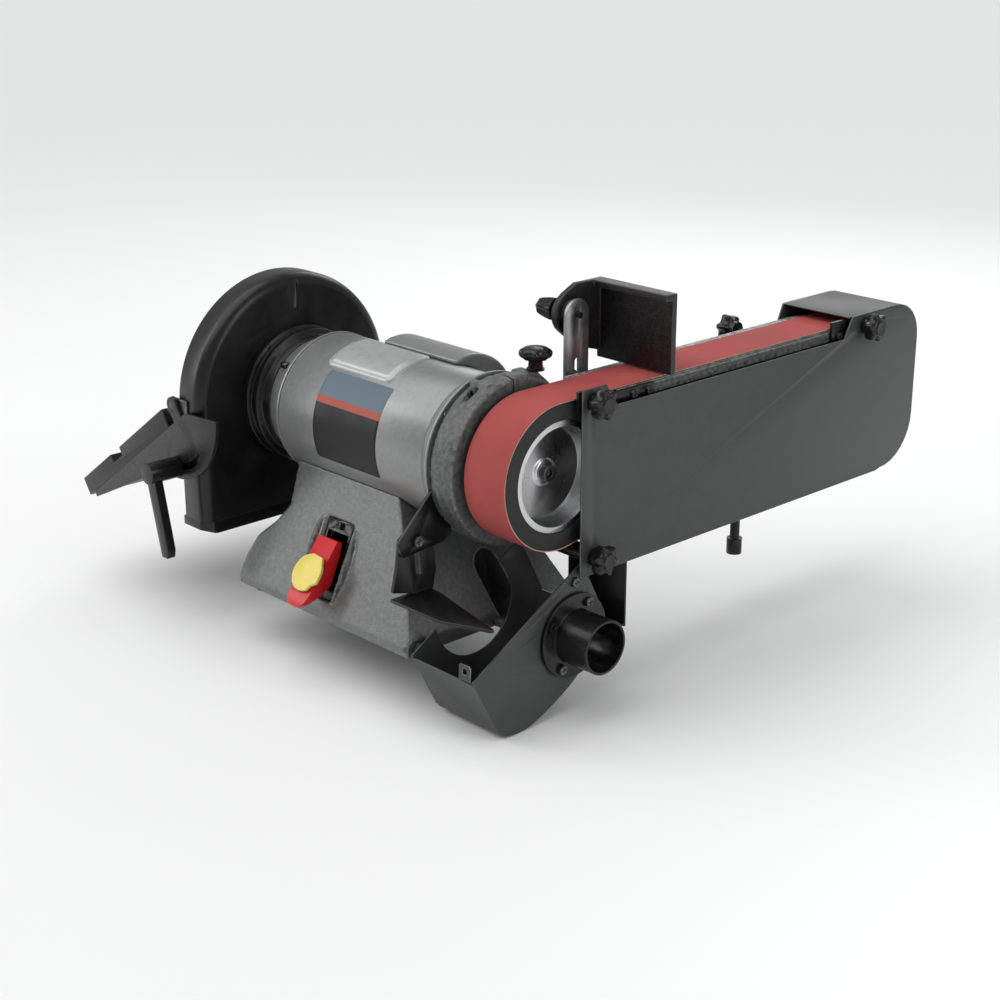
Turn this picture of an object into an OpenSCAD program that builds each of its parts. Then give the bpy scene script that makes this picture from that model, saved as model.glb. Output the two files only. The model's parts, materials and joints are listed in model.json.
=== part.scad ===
// Bench-top belt and disc sander.
// X runs along the motor shaft, from the disc (-X) to the belt (+X).
// +Y points to the back of the machine and +Z up. The origin is the middle of the base bolts,
// on the bench. Heights inside a module are measured from the shaft unless it says otherwise.

/* [Motor] */
// Height of the shaft above the bench
axis_h = 176; // [170:1:215]
// Outside diameter of the motor housing
motor_d = 140; // [128:1:168]
// Length of the motor housing
motor_len = 223; // [200:1:270]
// Diameter of the motor shaft
shaft_d = 20; // [16:1:24]
// How far the motor's middle sits right of the base's middle
motor_shift = 12.5; // [5:0.5:20]
// Wall of the motor housing
motor_wall = 6; // [4:0.5:8]

/* [Base] */
// Width of the base along the shaft
base_w = 256; // [225:1:310]
// Depth of the base, front to back
base_d = 210; // [190:1:255]
// Wall of the base casting
base_wall = 6; // [4:0.5:8]
// Height of the rubber feet
foot_h = 6; // [4:0.5:12]
// Distance of the bench bolts from the base's edges
bolt_in = 20; // [17:1:30]
// Diameter of the bench bolt holes
bolt_d = 9; // [6:0.5:10]

/* [Belt] */
// Width of the sanding belt
belt_w = 50.8; // [42:0.2:61]
// Thickness of the sanding belt
belt_t = 1; // [0.8:0.1:1.5]
// Diameter of the contact wheel, over its rubber
wheel_d = 132.8; // [120:0.2:136]
// Thickness of the rubber on the contact wheel
tyre_t = 15; // [10:0.5:20]
// Diameter of the idler roller
idler_d = 54.4; // [45:0.2:58]
// Distance from the shaft to the idler roller, front to back
idler_y = 458.5; // [440:0.5:550]
// Length of the platen under the belt
platen_len = 340; // [290:1:350]

/* [Disc] */
// Diameter of the sanding disc
disc_d = 228.6; // [190:0.2:232]
// Thickness of the disc plate
disc_t = 12; // [8:0.5:16]
// Depth of the disc guard along the shaft
guard_depth = 34; // [28:0.5:50]
// Wall of the disc guard
guard_wall = 2.2; // [2:0.1:4]

/* [Disc table] */
// Depth of the disc table, away from the disc
table_depth = 212; // [150:1:230]
// Thickness of the disc table
table_t = 20; // [15:0.5:24]
// How far the table hangs down below level
table_tilt = 35; // [0:1:45]

/* [Covers] */
// Thickness of the sheet steel
sheet_t = 1.5; // [1:0.1:2.5]
// Clear space between the belt's edge and the side cover
cover_gap = 10.5; // [9:0.5:16]
// Diameter of the cover knobs
knob_d = 30; // [24:1:34]

/* [Dust hood] */
// Diameter of the dust port's tube
port_d = 51; // [40:0.5:60]
// Length of the dust port's tube
port_len = 42; // [30:1:60]

/* [Hidden] */
$fn = 72;

// Clearances
fit = 0.04;         // radial clearance of a running fit
gap = 0.3;          // space left between bodies that pass each other
eps = 0.5;          // how far a cutter runs past the face it cuts

// Along the shaft, from the disc to the side cover
motor_r = motor_d / 2;
motor_x0 = motor_shift - motor_len / 2;
motor_x1 = motor_x0 + motor_len;
bell_depth = 27;
collar_x0 = motor_x0 - bell_depth;
collar_len = 35;
guard_x1 = collar_x0 - collar_len;
guard_x0 = guard_x1 - guard_depth;
abrasive_t = 1.5;
disc_x0 = guard_x0 - 3;             // front of the abrasive
plate_x0 = disc_x0 + abrasive_t;
ring_gap = 4;
ring_w = 24;
ring_x0 = motor_x1 + ring_gap;
ring_x1 = ring_x0 + ring_w;
web_x0 = ring_x1 - 2;
web_x1 = web_x0 + 8;
belt_x0 = web_x1 + 6.2;
belt_x1 = belt_x0 + belt_w;
belt_mid = (belt_x0 + belt_x1) / 2;
cover_x0 = belt_x1 + cover_gap;
cover_x1 = cover_x0 + sheet_t;
shell_x0 = web_x0 - 8.5;            // outside of the inner cover
shell_x1 = shell_x0 + sheet_t;

// Shaft, bearings and rotor
shaft_r = shaft_d / 2;
bearing_r = shaft_r + 13.5;
bearing_w = 14;
boss_r = 56;
stator_r = motor_r - motor_wall - 0.05;
rotor_r = 39.5;
stator_x0 = motor_x0 + 62;
stator_x1 = stator_x0 + 95;

// Belt path, seen along the shaft
wheel_r = wheel_d / 2;
idler_r = idler_d / 2;
belt_in = wheel_r;                  // inside of the belt on the wheel
belt_out = wheel_r + belt_t;
idler_in = idler_r + gap;
idler_out = idler_in + belt_t;
idler_z = belt_out - idler_out;
belt_slope = asin((belt_out - idler_out) / norm([idler_y, idler_z]))
  + atan2(idler_z, idler_y);        // rise of the lower run

// Platen
platen_top = belt_in - gap;
platen_t = 11;
platen_y0 = 68;
platen_y1 = platen_y0 + platen_len;
platen_x0 = web_x0;
platen_x1 = belt_x1 + 3;
platen_z0 = platen_top - platen_t;
web_y1 = platen_y1 - 23;
flange_t = 6;

// Idler carriage
bar_r = 8;
bar_x = belt_mid;
carriage_slide = 12;
clevis_y0 = idler_y - 53.5;
clevis_y1 = clevis_y0 + 22;
yoke_pin_y = clevis_y0 + 14;
yoke_h = 18;
yoke_t = 5;
yoke_gap = 1.5;
guide_y0 = clevis_y0 - 76;
guide_y1 = clevis_y0 - 20;
screw_ys = [120, 215, guide_y0 - 19];
idler_x0 = belt_x0 - 1.6;
idler_x1 = belt_x1 + 1.6;
axle_r = 6;
crown = 0.8;

// Tension lever
lever_x0 = web_x0 - 5.5;
lever_x1 = web_x0 - 0.5;
lever_y = idler_y - 132.5;
lever_z = 28;
lever_swing = 30;

// Covers
cover_top = 57;
cover_crest = 78;
cover_y0 = 14;
cover_y1 = idler_y + 52.5;
cover_z0 = -94;
knob_r = knob_d / 2;
stud_r = 3;
knob_ft = [27, 66];
knob_fb = [31, -79];
knob_rt = [platen_y1 + 10, 66];

// Disc and its guard
disc_r = disc_d / 2;
guard_r = disc_r + 2.5 + guard_wall;
guard_bottom = -guard_r - 9;
sump_h = 13;
side_y = guard_r + 2;               // face of the table bracket

// Disc table, in its own frame: tilt axis at the origin, level
pivot_x = disc_x0 - 2;
pivot_z = 1;
pivot_r = 4;
table_edge = -3.5;
table_top = 4;
trunnion_r = 75;
trunnion_t = 4;
trunnion_y = side_y + gap;
table_half = trunnion_y + trunnion_t;
slot_r = 62;
slot_mid = -107;
slot_sweep = 26;
notch = 20;                         // room at the table's inner corners for the tilt pins
lever_stud = [slot_r * cos(-84), slot_r * sin(-84)];
hub_r = 10.5;
hub_y0 = -table_half - 37;

// Base
bolt_x = base_w - 2 * bolt_in;
bolt_y = base_d - 2 * bolt_in;
face_top_y = 54;                    // half depth of the base under the motor
face_top_z = -45;
face_bot_y = base_d / 2;
face_bot_z = foot_h - axis_h;
face_tilt = atan2(face_bot_y - face_top_y, face_top_z - face_bot_z);
switch_x = -6.5;
switch_w = 37.5;
switch_h = 76;
switch_top = -82;

// Tool rest, seen along the shaft
rest_x0 = motor_x1 + 1;
rest_bolt = [-90.5, -60];
rest_lean = 7;
rest_travel = 28;

// Dust hood, seen along the shaft
hood_x1 = cover_x0 - 4;
hood_x0 = hood_x1 - 81.5;
port_c = [10, -150];
port_r = port_d / 2;
port_flange_r = port_r + 14.5;
hood_outline = [[20, -84], [-111, -160], [-82, -216], [-78, -220.5], [-71.5, -224],
  [-64, -225.7], [-55, -226], [-46, -225], [-37, -222.6], [-28, -219.2], [-10, -210.6],
  [8, -200.4], [22, -190], [32, -179.5], [40, -168], [51, -140], [29.5, -98]];
hood_screw = [12.6, -100];
hood_posts = [[5, -164.5], [-92, -162]];

// Work stop
stop_y = 129.4;
stop_bolt = [90.5, 117.5];
strap_x1 = web_x0 - 5;
strap_x0 = strap_x1 - 4;
ear_x1 = strap_x0 - 1;
ear_x0 = ear_x1 - 14;

// ---------------------------------------------------------------- shared shapes

module on_axis() translate([0, 0, axis_h]) children();

// Round bar along X
module xcyl(r, x0, x1, fn = 72) translate([x0, 0, 0]) rotate([0, 90, 0])
  cylinder(r = r, h = x1 - x0, $fn = fn);

// Round bar along Y
module ycyl(r, y0, y1, fn = 48) translate([0, y1, 0]) rotate([90, 0, 0])
  cylinder(r = r, h = y1 - y0, $fn = fn);

// Tube along X
module xtube(ro, ri, x0, x1) difference() {
  xcyl(ro, x0, x1);
  xcyl(ri, x0 - eps, x1 + eps);
}

// Outline drawn in Y and Z, given a thickness along X
module side_plate(x0, x1) translate([x0, 0, 0]) rotate([90, 0, 90])
  linear_extrude(height = x1 - x0) children();

// Outline drawn in X and Z, given a thickness along Y
module front_plate(y0, y1) translate([0, y1, 0]) rotate([90, 0, 0])
  linear_extrude(height = y1 - y0) children();

// Profile of radius against X, turned about the shaft
module turned(points) rotate([0, 90, 0]) rotate_extrude() polygon(points);

// Points of an arc
function arc(c, r, a0, a1, n = 10) =
  [for (i = [0 : n]) c + r * [cos(a0 + (a1 - a0) * i / n), sin(a0 + (a1 - a0) * i / n)]];

// A convex outline, listed clockwise or counter-clockwise, moved inwards by t
function edge_in(p, q, s, t) = let (d = (q - p) / norm(q - p)) p + s * t * [-d[1], d[0]];
function cross_at(p, d, q, e) = p + d * ((q - p)[0] * e[1] - (q - p)[1] * e[0])
  / (d[0] * e[1] - d[1] * e[0]);
function inward(pts, t, s = 1) = let (n = len(pts)) [for (i = [0 : n - 1])
  let (a = pts[(i + n - 1) % n], b = pts[i], c = pts[(i + 1) % n])
    cross_at(edge_in(a, b, s, t), b - a, edge_in(b, c, s, t), c - b)];

// Pan-head screw pointing along -X, head outside at x = 0
module pan_screw(r = 2.5, len = 10, head = 4.5) {
  xcyl(r, -len, 0, 24);
  difference() {
    xcyl(head, 0, 3, 32);
    translate([2, -3.2, -0.5]) cube([1.5, 6.4, 1]);
    translate([2, -0.5, -3.2]) cube([1.5, 1, 6.4]);
  }
}

// Socket-head screw pointing along -X, head outside at x = 0
module cap_screw(r = 3, len = 16) {
  xcyl(r, -len, 0, 24);
  difference() {
    xcyl(r * 1.6, 0, 6, 32);
    xcyl(r * 0.95, 3, 6.5, 6);
  }
}

// Lobed clamping knob on a stud, stud pointing along -X, knob starting at x = 0
module lobed_knob(r, stud, depth = 18) {
  xcyl(stud_r, -stud, 1, 24);
  xcyl(r * 0.55, 0, 7, 36);
  difference() {
    xcyl(r, 6, depth, 60);
    for (a = [0 : 60 : 300]) rotate([a, 0, 0]) translate([0, r * 1.14, 0])
      xcyl(r * 0.34, 5, depth + 1, 32);
  }
  xcyl(r * 0.42, depth, depth + 2, 36);
}

// ---------------------------------------------------------------- base and motor

function flank(w, grow) = [
  [w / 2 - grow, face_bot_z - eps], [w / 2 - grow, face_bot_z + 14],
  [w / 2 - 32 - grow, face_bot_z + 70], [w / 2 - 73 - grow, -38], [w / 2 - 73 - grow, 10],
  [-w / 2 + 38 + grow, 10], [-w / 2 + 38 + grow, -52], [-w / 2 + 43 + grow, -86],
  [-w / 2 + 30 + grow, face_bot_z + 66], [-w / 2 + 10 + grow, face_bot_z + 48],
  [-w / 2 + 1 + grow, face_bot_z + 26], [-w / 2 + grow, face_bot_z + 14],
  [-w / 2 + grow, face_bot_z - eps]];

module base_block(grow, top) intersection() {
  front_plate(-base_d, base_d) polygon(flank(base_w, grow));
  side_plate(-base_w, base_w) polygon([
    [-face_bot_y + grow, face_bot_z - eps], [face_bot_y - grow, face_bot_z - eps],
    [face_bot_y - grow, face_bot_z + 8], [face_top_y - grow, face_top_z],
    [face_top_y - grow, top], [-face_top_y + grow, top], [-face_top_y + grow, face_top_z],
    [-face_bot_y + grow, face_bot_z + 8]]);
}

// Kidney-shaped pocket cast into the right flank
module pocket(grow) side_plate(base_w / 2 - 44 - grow, base_w / 2 + 5) union() {
  translate([14, -118]) circle(r = 14 + grow);
  translate([22, -152]) circle(r = 15 + grow);
  polygon([[0 - grow, -118], [28 + grow, -114], [37 + grow, -152], [7 - grow, -154]]);
}

module at_bolts() for (x = [-1, 1], y = [-1, 1]) translate([x * bolt_x / 2, y * bolt_y / 2, 0])
  children();

// Puts a child on the sloping front face: X along the face, Y up it, Z out of it
module on_face(x, z) let (d = face_top_z - z)
  translate([x, -face_top_y - d * tan(face_tilt), z]) rotate([90 - face_tilt, 0, 0]) children();

module base() color("darkgray") difference() {
  union() {
    on_axis() difference() {
      base_block(0, -20);
      difference() {
        base_block(base_wall, face_top_z - 8);
        xcyl(motor_r + base_wall, -base_w, base_w);
        pocket(base_wall);
      }
    }
    intersection() {
      for (a = [0, 1], b = [0, 1]) mirror([a, 0, 0]) mirror([0, b, 0])
        translate([bolt_x / 2 - 14, bolt_y / 2 - 14, foot_h]) cube([80, 80, 12]);
      on_axis() base_block(base_wall / 2, -20);
    }
  }
  on_axis() xcyl(motor_r, -base_w, base_w, 120);
  on_axis() pocket(0);
  on_axis() translate([-base_w, -base_d, face_bot_z - 10]) cube([2 * base_w, 2 * base_d, 10]);
  at_bolts() translate([0, 0, -1]) cylinder(d = bolt_d, h = foot_h + 20);
  on_axis() on_face(switch_x, switch_top)
    translate([-switch_w / 2, -switch_h, -14]) cube([switch_w, switch_h, 30]);
  on_axis() translate([gland_x, 0, gland_z]) ycyl(gland_r, 20, base_d);
}

module feet() color("black") at_bolts() difference() {
  cylinder(r = 12, h = foot_h);
  translate([0, 0, -eps]) cylinder(d = bolt_d, h = foot_h + 2 * eps);
}

module motor_shell() color("silver") on_axis() difference() {
  xcyl(motor_r, motor_x0, motor_x1 - 14, 120);
  xcyl(motor_r - motor_wall, motor_x0 - eps, motor_x1, 96);
}

module left_bell() color("silver") on_axis() difference() {
  left_bell_form();
  at_left_screws() xcyl(3.5, -3, 7, 32);
}

module at_left_screws() for (a = [48, 137, 223, 312]) rotate([a, 0, 0])
  translate([motor_x0 - 14, 0, motor_r - 3]) children();

module left_bell_form() turned([
  [bearing_r, motor_x0 - 22], [bearing_r, motor_x0 - 8], [shaft_r + 4, motor_x0 - 8],
  [shaft_r + 4, motor_x0 - 4], [bearing_r + 6, motor_x0 - 4], [motor_r - 16, motor_x0],
  [motor_r + 1, motor_x0], [motor_r + 1, motor_x0 - 3], [motor_r - 2, motor_x0 - 8],
  [motor_r - 8, motor_x0 - 22], [motor_r - 10, collar_x0], [bearing_r - 4, collar_x0],
  [bearing_r - 4, motor_x0 - 22]]);

module right_bell() color("silver") on_axis() turned([
  [motor_r - 16, motor_x1 - 14], [motor_r, motor_x1 - 14], [motor_r + 2, motor_x1 - 10],
  [motor_r + 6.5, motor_x1 - 3], [motor_r + 6.5, motor_x1], [boss_r + 8, motor_x1],
  [boss_r + 8, motor_x1 - 2], [boss_r, motor_x1 - 2], [boss_r, ring_x1 + 1],
  [shaft_r + 4, ring_x1 + 1], [shaft_r + 4, ring_x1 - 6], [bearing_r, ring_x1 - 6],
  [bearing_r, ring_x1 - 6 - bearing_w], [bearing_r + 6, ring_x1 - 6 - bearing_w],
  [bearing_r + 6, motor_x1 - 6]]);

module stator() color("dimgray") on_axis() xtube(stator_r, rotor_r + 0.5, stator_x0, stator_x1);

module windings() color("peru") on_axis() {
  xtube(stator_r - 4, rotor_r + 3, stator_x0 - 20, stator_x0);
  xtube(stator_r - 4, rotor_r + 3, stator_x1, stator_x1 + 20);
}

module bearings() color("gainsboro") on_axis() {
  xtube(bearing_r, shaft_r + fit, motor_x0 - 22, motor_x0 - 22 + bearing_w);
  xtube(bearing_r, shaft_r + fit, ring_x1 - 6 - bearing_w, ring_x1 - 6);
}

module bell_screws() color("silver") on_axis() {
  for (a = [48, 137, 223, 312]) rotate([a, 0, 0]) translate([motor_x1, 0, motor_r])
    xcyl(4.5, 0, 3, 32);
  at_left_screws() xcyl(3.5, -3, 6, 32);
}

// Blank raised pad on top of the housing
module badge_pad() color("gainsboro") on_axis() difference() {
  intersection() {
    xtube(motor_r + 6, motor_r, motor_x0 + 41, motor_x0 + 137);
    translate([motor_x0, -44, 50]) cube([400, 96, motor_r]);
  }
  translate([motor_x0, 12, 0]) cube([300, 100, 200]);
}

// Thin curved plate on the front of the housing
module rating_label() color("dimgray") on_axis() intersection() {
  xtube(motor_r + 0.4, motor_r, motor_x0 + 53, motor_x0 + 146);
  translate([-base_w, -100, -34]) cube([2 * base_w, 60, 87]);
}

module capacitor_box() color("darkgray") on_axis() difference() {
  intersection() {
    translate([motor_x0 + 62, 12, 18]) cube([104, 74, 62]);
    translate([0, 30, 20]) xcyl(56, motor_x0, motor_x1, 96);
  }
  xcyl(motor_r, motor_x0, motor_x1, 120);
  intersection() {
    translate([motor_x0 + 66, 16, 22]) cube([96, 66, 54]);
    translate([0, 30, 20]) xcyl(52.5, motor_x0, motor_x1, 96);
  }
}

gland_r = 9;
gland_x = -60;
gland_z = -130;

module cord_gland() color("black") on_axis() translate([gland_x, 0, gland_z]) difference() {
  union() {
    ycyl(gland_r - 0.05, 80, 110);
    ycyl(13, 104, 118, 6);
  }
  ycyl(4.5, 70, 130);
}

// ---------------------------------------------------------------- switch

paddle_w = 28;
paddle_len = 66;
paddle_pivot = 23;   // below the top of the switch plate
paddle_out = 9;      // hinge line in front of the plate

module switch_plate() color("black") on_axis() on_face(switch_x, switch_top)
difference() {
  translate([-switch_w / 2, -switch_h, -5]) cube([switch_w, switch_h, 5]);
  translate([-paddle_w / 2 - 1, -switch_h + 10, -6]) cube([paddle_w + 2, 54, 7]);
  for (y = [-5.5, -switch_h + 5.5]) translate([0, y, -6]) cylinder(r = 2, h = 8, $fn = 24);
}

module switch_box() color("dimgray") on_axis() on_face(switch_x, switch_top)
difference() {
  translate([-15, -switch_h + 9, -30]) cube([30, switch_h - 18, 24.95]);
  translate([-13, -switch_h + 11, -28]) cube([26, switch_h - 22, 30]);
}

// Paddle and key in the plate's own frame
module at_paddle() on_axis() on_face(switch_x, switch_top)
  translate([0, -paddle_pivot, paddle_out]) children();

module switch_paddle() color("crimson") at_paddle() difference() {
  rotate([90, 0, 90]) translate([0, 0, -paddle_w / 2]) linear_extrude(height = paddle_w)
    polygon([[4, -4], [4, 2], [-38, 12], [-paddle_len + 2, 21], [-paddle_len, 15],
      [-42, -3], [-38, -6], [-8, -6]]);
  rotate([0, 90, 0]) translate([0, 0, -20]) cylinder(r = 1.5, h = 40, $fn = 24);
  translate([-4, -36, 2]) cube([8, 8, 14]);
}

module switch_key() color("khaki") at_paddle() {
  translate([-3.7, -35.7, 3]) cube([7.4, 7.4, 10]);
  translate([0, -32, 12.6]) rotate([-13.4, 0, 0]) {
    cylinder(r = 19, h = 3.5);
    translate([-2, 4, 0]) cube([18, 15, 3.5]);
  }
}

// ---------------------------------------------------------------- disc side

// Half section of the guard: radius, then distance from its open side
module guard_section(t, start) {
  translate([0, start]) square([guard_r - t, guard_depth - 12 - start]);
  square([guard_r - 12, guard_depth - t]);
  translate([guard_r - 12, guard_depth - 12]) circle(r = 12 - t, $fn = 48);
}

// Round over the disc, straight down to the sump
module guard_body(t, start, low) translate([guard_x0, 0, 0]) {
  rotate([0, 90, 0]) rotate([0, 0, 90]) rotate_extrude(angle = 180, $fn = 120)
    intersection() {
      guard_section(t, start);
      translate([0, -5]) square([guard_r, guard_depth + 5]);
    }
  for (s = [0, 1]) mirror([0, s, 0]) translate([0, 0, low]) linear_extrude(height = -low)
    mirror([1, -1, 0]) intersection() {
      guard_section(t, start);
      translate([0, -5]) square([guard_r, guard_depth + 5]);
    }
}

module disc_guard() color("black") on_axis() difference() {
  guard_body(0, 0, guard_bottom + sump_h);
  guard_body(guard_wall, -1, guard_bottom + sump_h - 1);
  xcyl(30, guard_x0, guard_x1 + eps);
}

// Shallow tray that closes the guard below
module sump_outline(t) polygon([[-guard_r + t, guard_bottom + t + 4],
  [-guard_r + 14, guard_bottom + t], [guard_r - 14, guard_bottom + t],
  [guard_r - t, guard_bottom + t + 4], [guard_r - t, guard_bottom + sump_h],
  [-guard_r + t, guard_bottom + sump_h]]);

module sump_plan(t) translate([0, 0, guard_bottom - 1]) linear_extrude(height = 40)
  polygon([[guard_x0 - 4 + t, -guard_r + t], [guard_x1 - 10, -guard_r + t],
    [guard_x1 - t, -guard_r + 10], [guard_x1 - t, guard_r - 10], [guard_x1 - 10, guard_r - t],
    [guard_x0 - 4 + t, guard_r - t]]);

module guard_sump() color("black") on_axis() difference() {
  intersection() {
    side_plate(guard_x0 - 4, guard_x1) sump_outline(0);
    sump_plan(0);
  }
  intersection() {
    side_plate(guard_x0 - 4, guard_x1) translate([0, eps]) sump_outline(guard_wall);
    sump_plan(guard_wall);
  }
}

// Ringed spacer between the guard and the motor
module guard_collar() color("black") on_axis() turned([
  [34, guard_x1], [motor_r - 2, guard_x1], [motor_r - 2, guard_x1 + 8],
  [motor_r - 7, guard_x1 + 9], [motor_r - 7, guard_x1 + 16], [motor_r - 3, guard_x1 + 17],
  [motor_r - 3, guard_x1 + 22], [motor_r - 9, guard_x1 + 24], [motor_r - 9, collar_x0],
  [44, collar_x0], [44, guard_x1 + 6], [34, guard_x1 + 6]]);

module at_pivot() on_axis() translate([pivot_x, 0, pivot_z]) children();

// Plates on both sides of the guard with the table's tilt pins, and the clamp stud in front
module table_bracket() color("dimgray") at_pivot() {
  for (s = [0, 1]) mirror([0, s, 0]) {
    front_plate(-side_y, -guard_r) polygon([[-6, -7], [-6, 7], [20, 7], [20, -70],
      [-1, -70], [-1, -20]]);
    ycyl(pivot_r, -table_half, -guard_r);
  }
  translate([lever_stud[0], 0, lever_stud[1]]) ycyl(stud_r, hub_y0 + 4, -guard_r, 32);
}

// Curved slot, outline of short straight steps, with round ends
function cap(c, r, a) = [for (i = [1 : 5]) c + r * [cos(a + 30 * i), sin(a + 30 * i)]];
function slot_outline(r, w, a0, a1) = concat(arc([0, 0], r + w, a0, a1, 12),
  cap(r * [cos(a1), sin(a1)], w, a1), arc([0, 0], r - w, a1, a0, 12),
  cap(r * [cos(a0), sin(a0)], w, a0 + 180));

// Everything on the tilting table is drawn level and turned down by table_tilt
module on_table() at_pivot() rotate([0, -table_tilt, 0]) children();

module disc_table() color("black") on_table() difference() {
  translate([table_edge - table_depth, -table_half, table_top - table_t])
    cube([table_depth, 2 * table_half, table_t]);
  translate([table_edge - 142, -table_half - 1, table_top - 9.5])
    cube([22, 2 * table_half + 2, 10]);
  for (s = [0, 1]) mirror([0, s, 0]) translate([-notch, guard_r - 1, table_top - table_t - 1])
    cube([notch, 20, table_t + 2]);
  front_plate(-guard_r - 1, guard_r + 1) polygon([[table_edge + 1, table_top - 3],
    [table_edge + 1, table_top - table_t - 1], [table_edge - 15, table_top - table_t - 1]]);
}

module table_trunnions() color("black") on_table() for (s = [0, 1]) mirror([0, s, 0])
front_plate(-table_half, -trunnion_y) difference() {
  union() {
    intersection() {
      circle(r = trunnion_r, $fn = 96);
      translate([-100, -100]) square([200, 100 + table_top - table_t]);
    }
    circle(r = 8);
    translate([-7, table_top - table_t - 2]) square([14, table_t - 4]);
    polygon([[table_edge - table_depth + 12, table_top - table_t],
      [table_edge - table_depth + 12, table_top - table_t - 6], [-56, -48], [0, -60],
      [20, table_top - table_t]]);
  }
  translate([-300, table_top - table_t]) square([300 - notch - gap, 40]);
  polygon([[12, table_top - table_t + 1], [16, table_top - table_t], [80, -56], [80, 20], [12, 20]]);
  circle(r = pivot_r + fit);
  polygon(slot_outline(slot_r, stud_r + 0.6, slot_mid - slot_sweep, slot_mid + slot_sweep));
}

module table_lever() color("dimgray") at_pivot()
translate([lever_stud[0], 0, lever_stud[1]]) difference() {
  union() {
    ycyl(hub_r, hub_y0, -table_half - 0.6);
    rotate([0, -12, 0]) front_plate(hub_y0 + 3, hub_y0 + 12)
      polygon([[-7, -5], [7, -5], [8.5, -78], [5, -86], [-4, -84]]);
  }
  ycyl(stud_r + fit, hub_y0 + 3, 0, 32);
}

module at_disc_screws() translate([guard_x1 + 1, 0, 0]) for (a = [0, 120, 240])
  rotate([a, 0, 0]) translate([0, 0, shaft_r + 3]) children();

module disc_plate() color("silver") on_axis() difference() {
  turned([[shaft_r, guard_x1 + 8], [shaft_r + 9, guard_x1 + 8], [shaft_r + 12, plate_x0 + disc_t],
    [disc_r, plate_x0 + disc_t], [disc_r, plate_x0], [shaft_r, plate_x0]]);
  at_disc_screws() cylinder(r = 2.5, h = 20, $fn = 24);
}

module abrasive_disc() color("brown") on_axis() xcyl(disc_r, disc_x0, plate_x0, 120);

module disc_screws() color("gray") on_axis() at_disc_screws()
  cylinder(r = 2.5, h = 6.5, $fn = 24);

// ---------------------------------------------------------------- shaft and wheel

module motor_shaft() color("gainsboro") on_axis() {
  difference() {
    xcyl(shaft_r, plate_x0, belt_mid);
    xcyl(4, belt_mid - 15, belt_mid + 1, 24);
  }
}

module rotor() color("gray") on_axis() xtube(rotor_r, shaft_r, stator_x0, stator_x1);

hub_ring_r = wheel_r - tyre_t;

module contact_wheel() color("silver") on_axis() difference() {
  turned([[shaft_r, belt_x0 - 4], [shaft_r + 10, belt_x0 - 4], [shaft_r + 10, belt_mid - 8],
    [hub_ring_r - 7, belt_mid - 8], [hub_ring_r - 7, belt_x0], [hub_ring_r, belt_x0],
    [hub_ring_r, belt_x1 - 1], [hub_ring_r - 6, belt_x1 - 1], [hub_ring_r - 9, belt_mid + 4],
    [shaft_r + 3, belt_mid + 4], [shaft_r + 1, belt_mid + 6], [4, belt_mid + 6], [4, belt_mid],
    [shaft_r, belt_mid]]);
}

module wheel_tyre() color("#2b2b2d") on_axis() xtube(wheel_r, hub_ring_r, belt_x0, belt_x1);

module wheel_screw() color("#333333") on_axis() translate([belt_mid + 6, 0, 0]) {
  xcyl(4, -20, 0, 24);
  difference() {
    xcyl(7.5, 0, 6, 36);
    xcyl(4, 2, 7, 6);
  }
}

// ---------------------------------------------------------------- belt arm

module arm_frame() color("darkgray") on_axis() difference() {
  union() {
    xcyl(motor_r + 8.5, ring_x0, ring_x1, 120);
    side_plate(ring_x0, ring_x1) polygon([[-32, 60], [-28, 76], [34, 76], [50, 62], [50, 40]]);
    side_plate(web_x0, web_x1) {
      circle(r = motor_r + 7.5, $fn = 120);
      polygon([[0, platen_z0], [web_y1, platen_z0], [web_y1, 8], [150, 2], [100, -34],
        [knob_fb[0] + 9, knob_fb[1] - 4], [0, -motor_r]]);
      translate(knob_fb) circle(r = 10);
    }
    translate([web_x0, platen_y0 + 12, platen_z0 - flange_t])
      cube([50, web_y1 - platen_y0 - 12, flange_t]);
    translate([web_x1 - 1, guide_y0, idler_z - 14])
      cube([bar_x + 15 - web_x1, guide_y1 - guide_y0, platen_z0 - idler_z + 12]);
    for (p = [[120, 20], [300, 44], [250, 20]])
      translate([0, p[0], p[1]]) xcyl(6, shell_x1, web_x0 + 1, 32);
    translate([0, lever_y, lever_z]) xcyl(4, shell_x1 + 0.5, web_x0 + 1, 32);
  }
  xcyl(boss_r + fit, ring_x0 - eps, ring_x1 + 1, 96);
  xcyl(30, ring_x1, web_x1 + eps);
  translate([ring_x0 - eps, -3.5, 40]) cube([ring_w + 8, 3, 60]);
  translate([ring_x0 + 12, 0, 67]) ycyl(3, -34, 40, 32);
  translate([ring_x0 + 12, 0, 67]) ycyl(5.4, -60, -30, 32);
  translate([ring_x0 + 18, 36, 50]) cylinder(r = stud_r + fit, h = 40, $fn = 32);
  translate([bar_x, 0, idler_z]) ycyl(bar_r + fit, guide_y0 - eps, guide_y1 + eps);
  translate([bar_x, 0, idler_z]) ycyl(12, guide_y1 - carriage_slide - 1, guide_y1 + eps);
  for (y = screw_ys) translate([web_x1 + 20, y, 40]) cylinder(r = 2.5, h = 30, $fn = 24);
}

module arm_screws() color("#333333") on_axis() {
  translate([ring_x0 + 12, -30, 67]) rotate([0, 0, -90]) cap_screw(3, 58);
  for (y = screw_ys) translate([web_x1 + 20, y, platen_z0 - flange_t])
    rotate([0, 90, 0]) rotate([0, 0, 0]) cap_screw(2.5, flange_t + 7);
  translate([strap_x0 - gap, stop_bolt[0], platen_z0 + 5]) mirror([1, 0, 0]) cap_screw(3, 18);
  translate([0, stop_bolt[0], platen_z0 + 5]) xtube(5.2, 3, strap_x1 + gap, web_x0);
}

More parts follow.
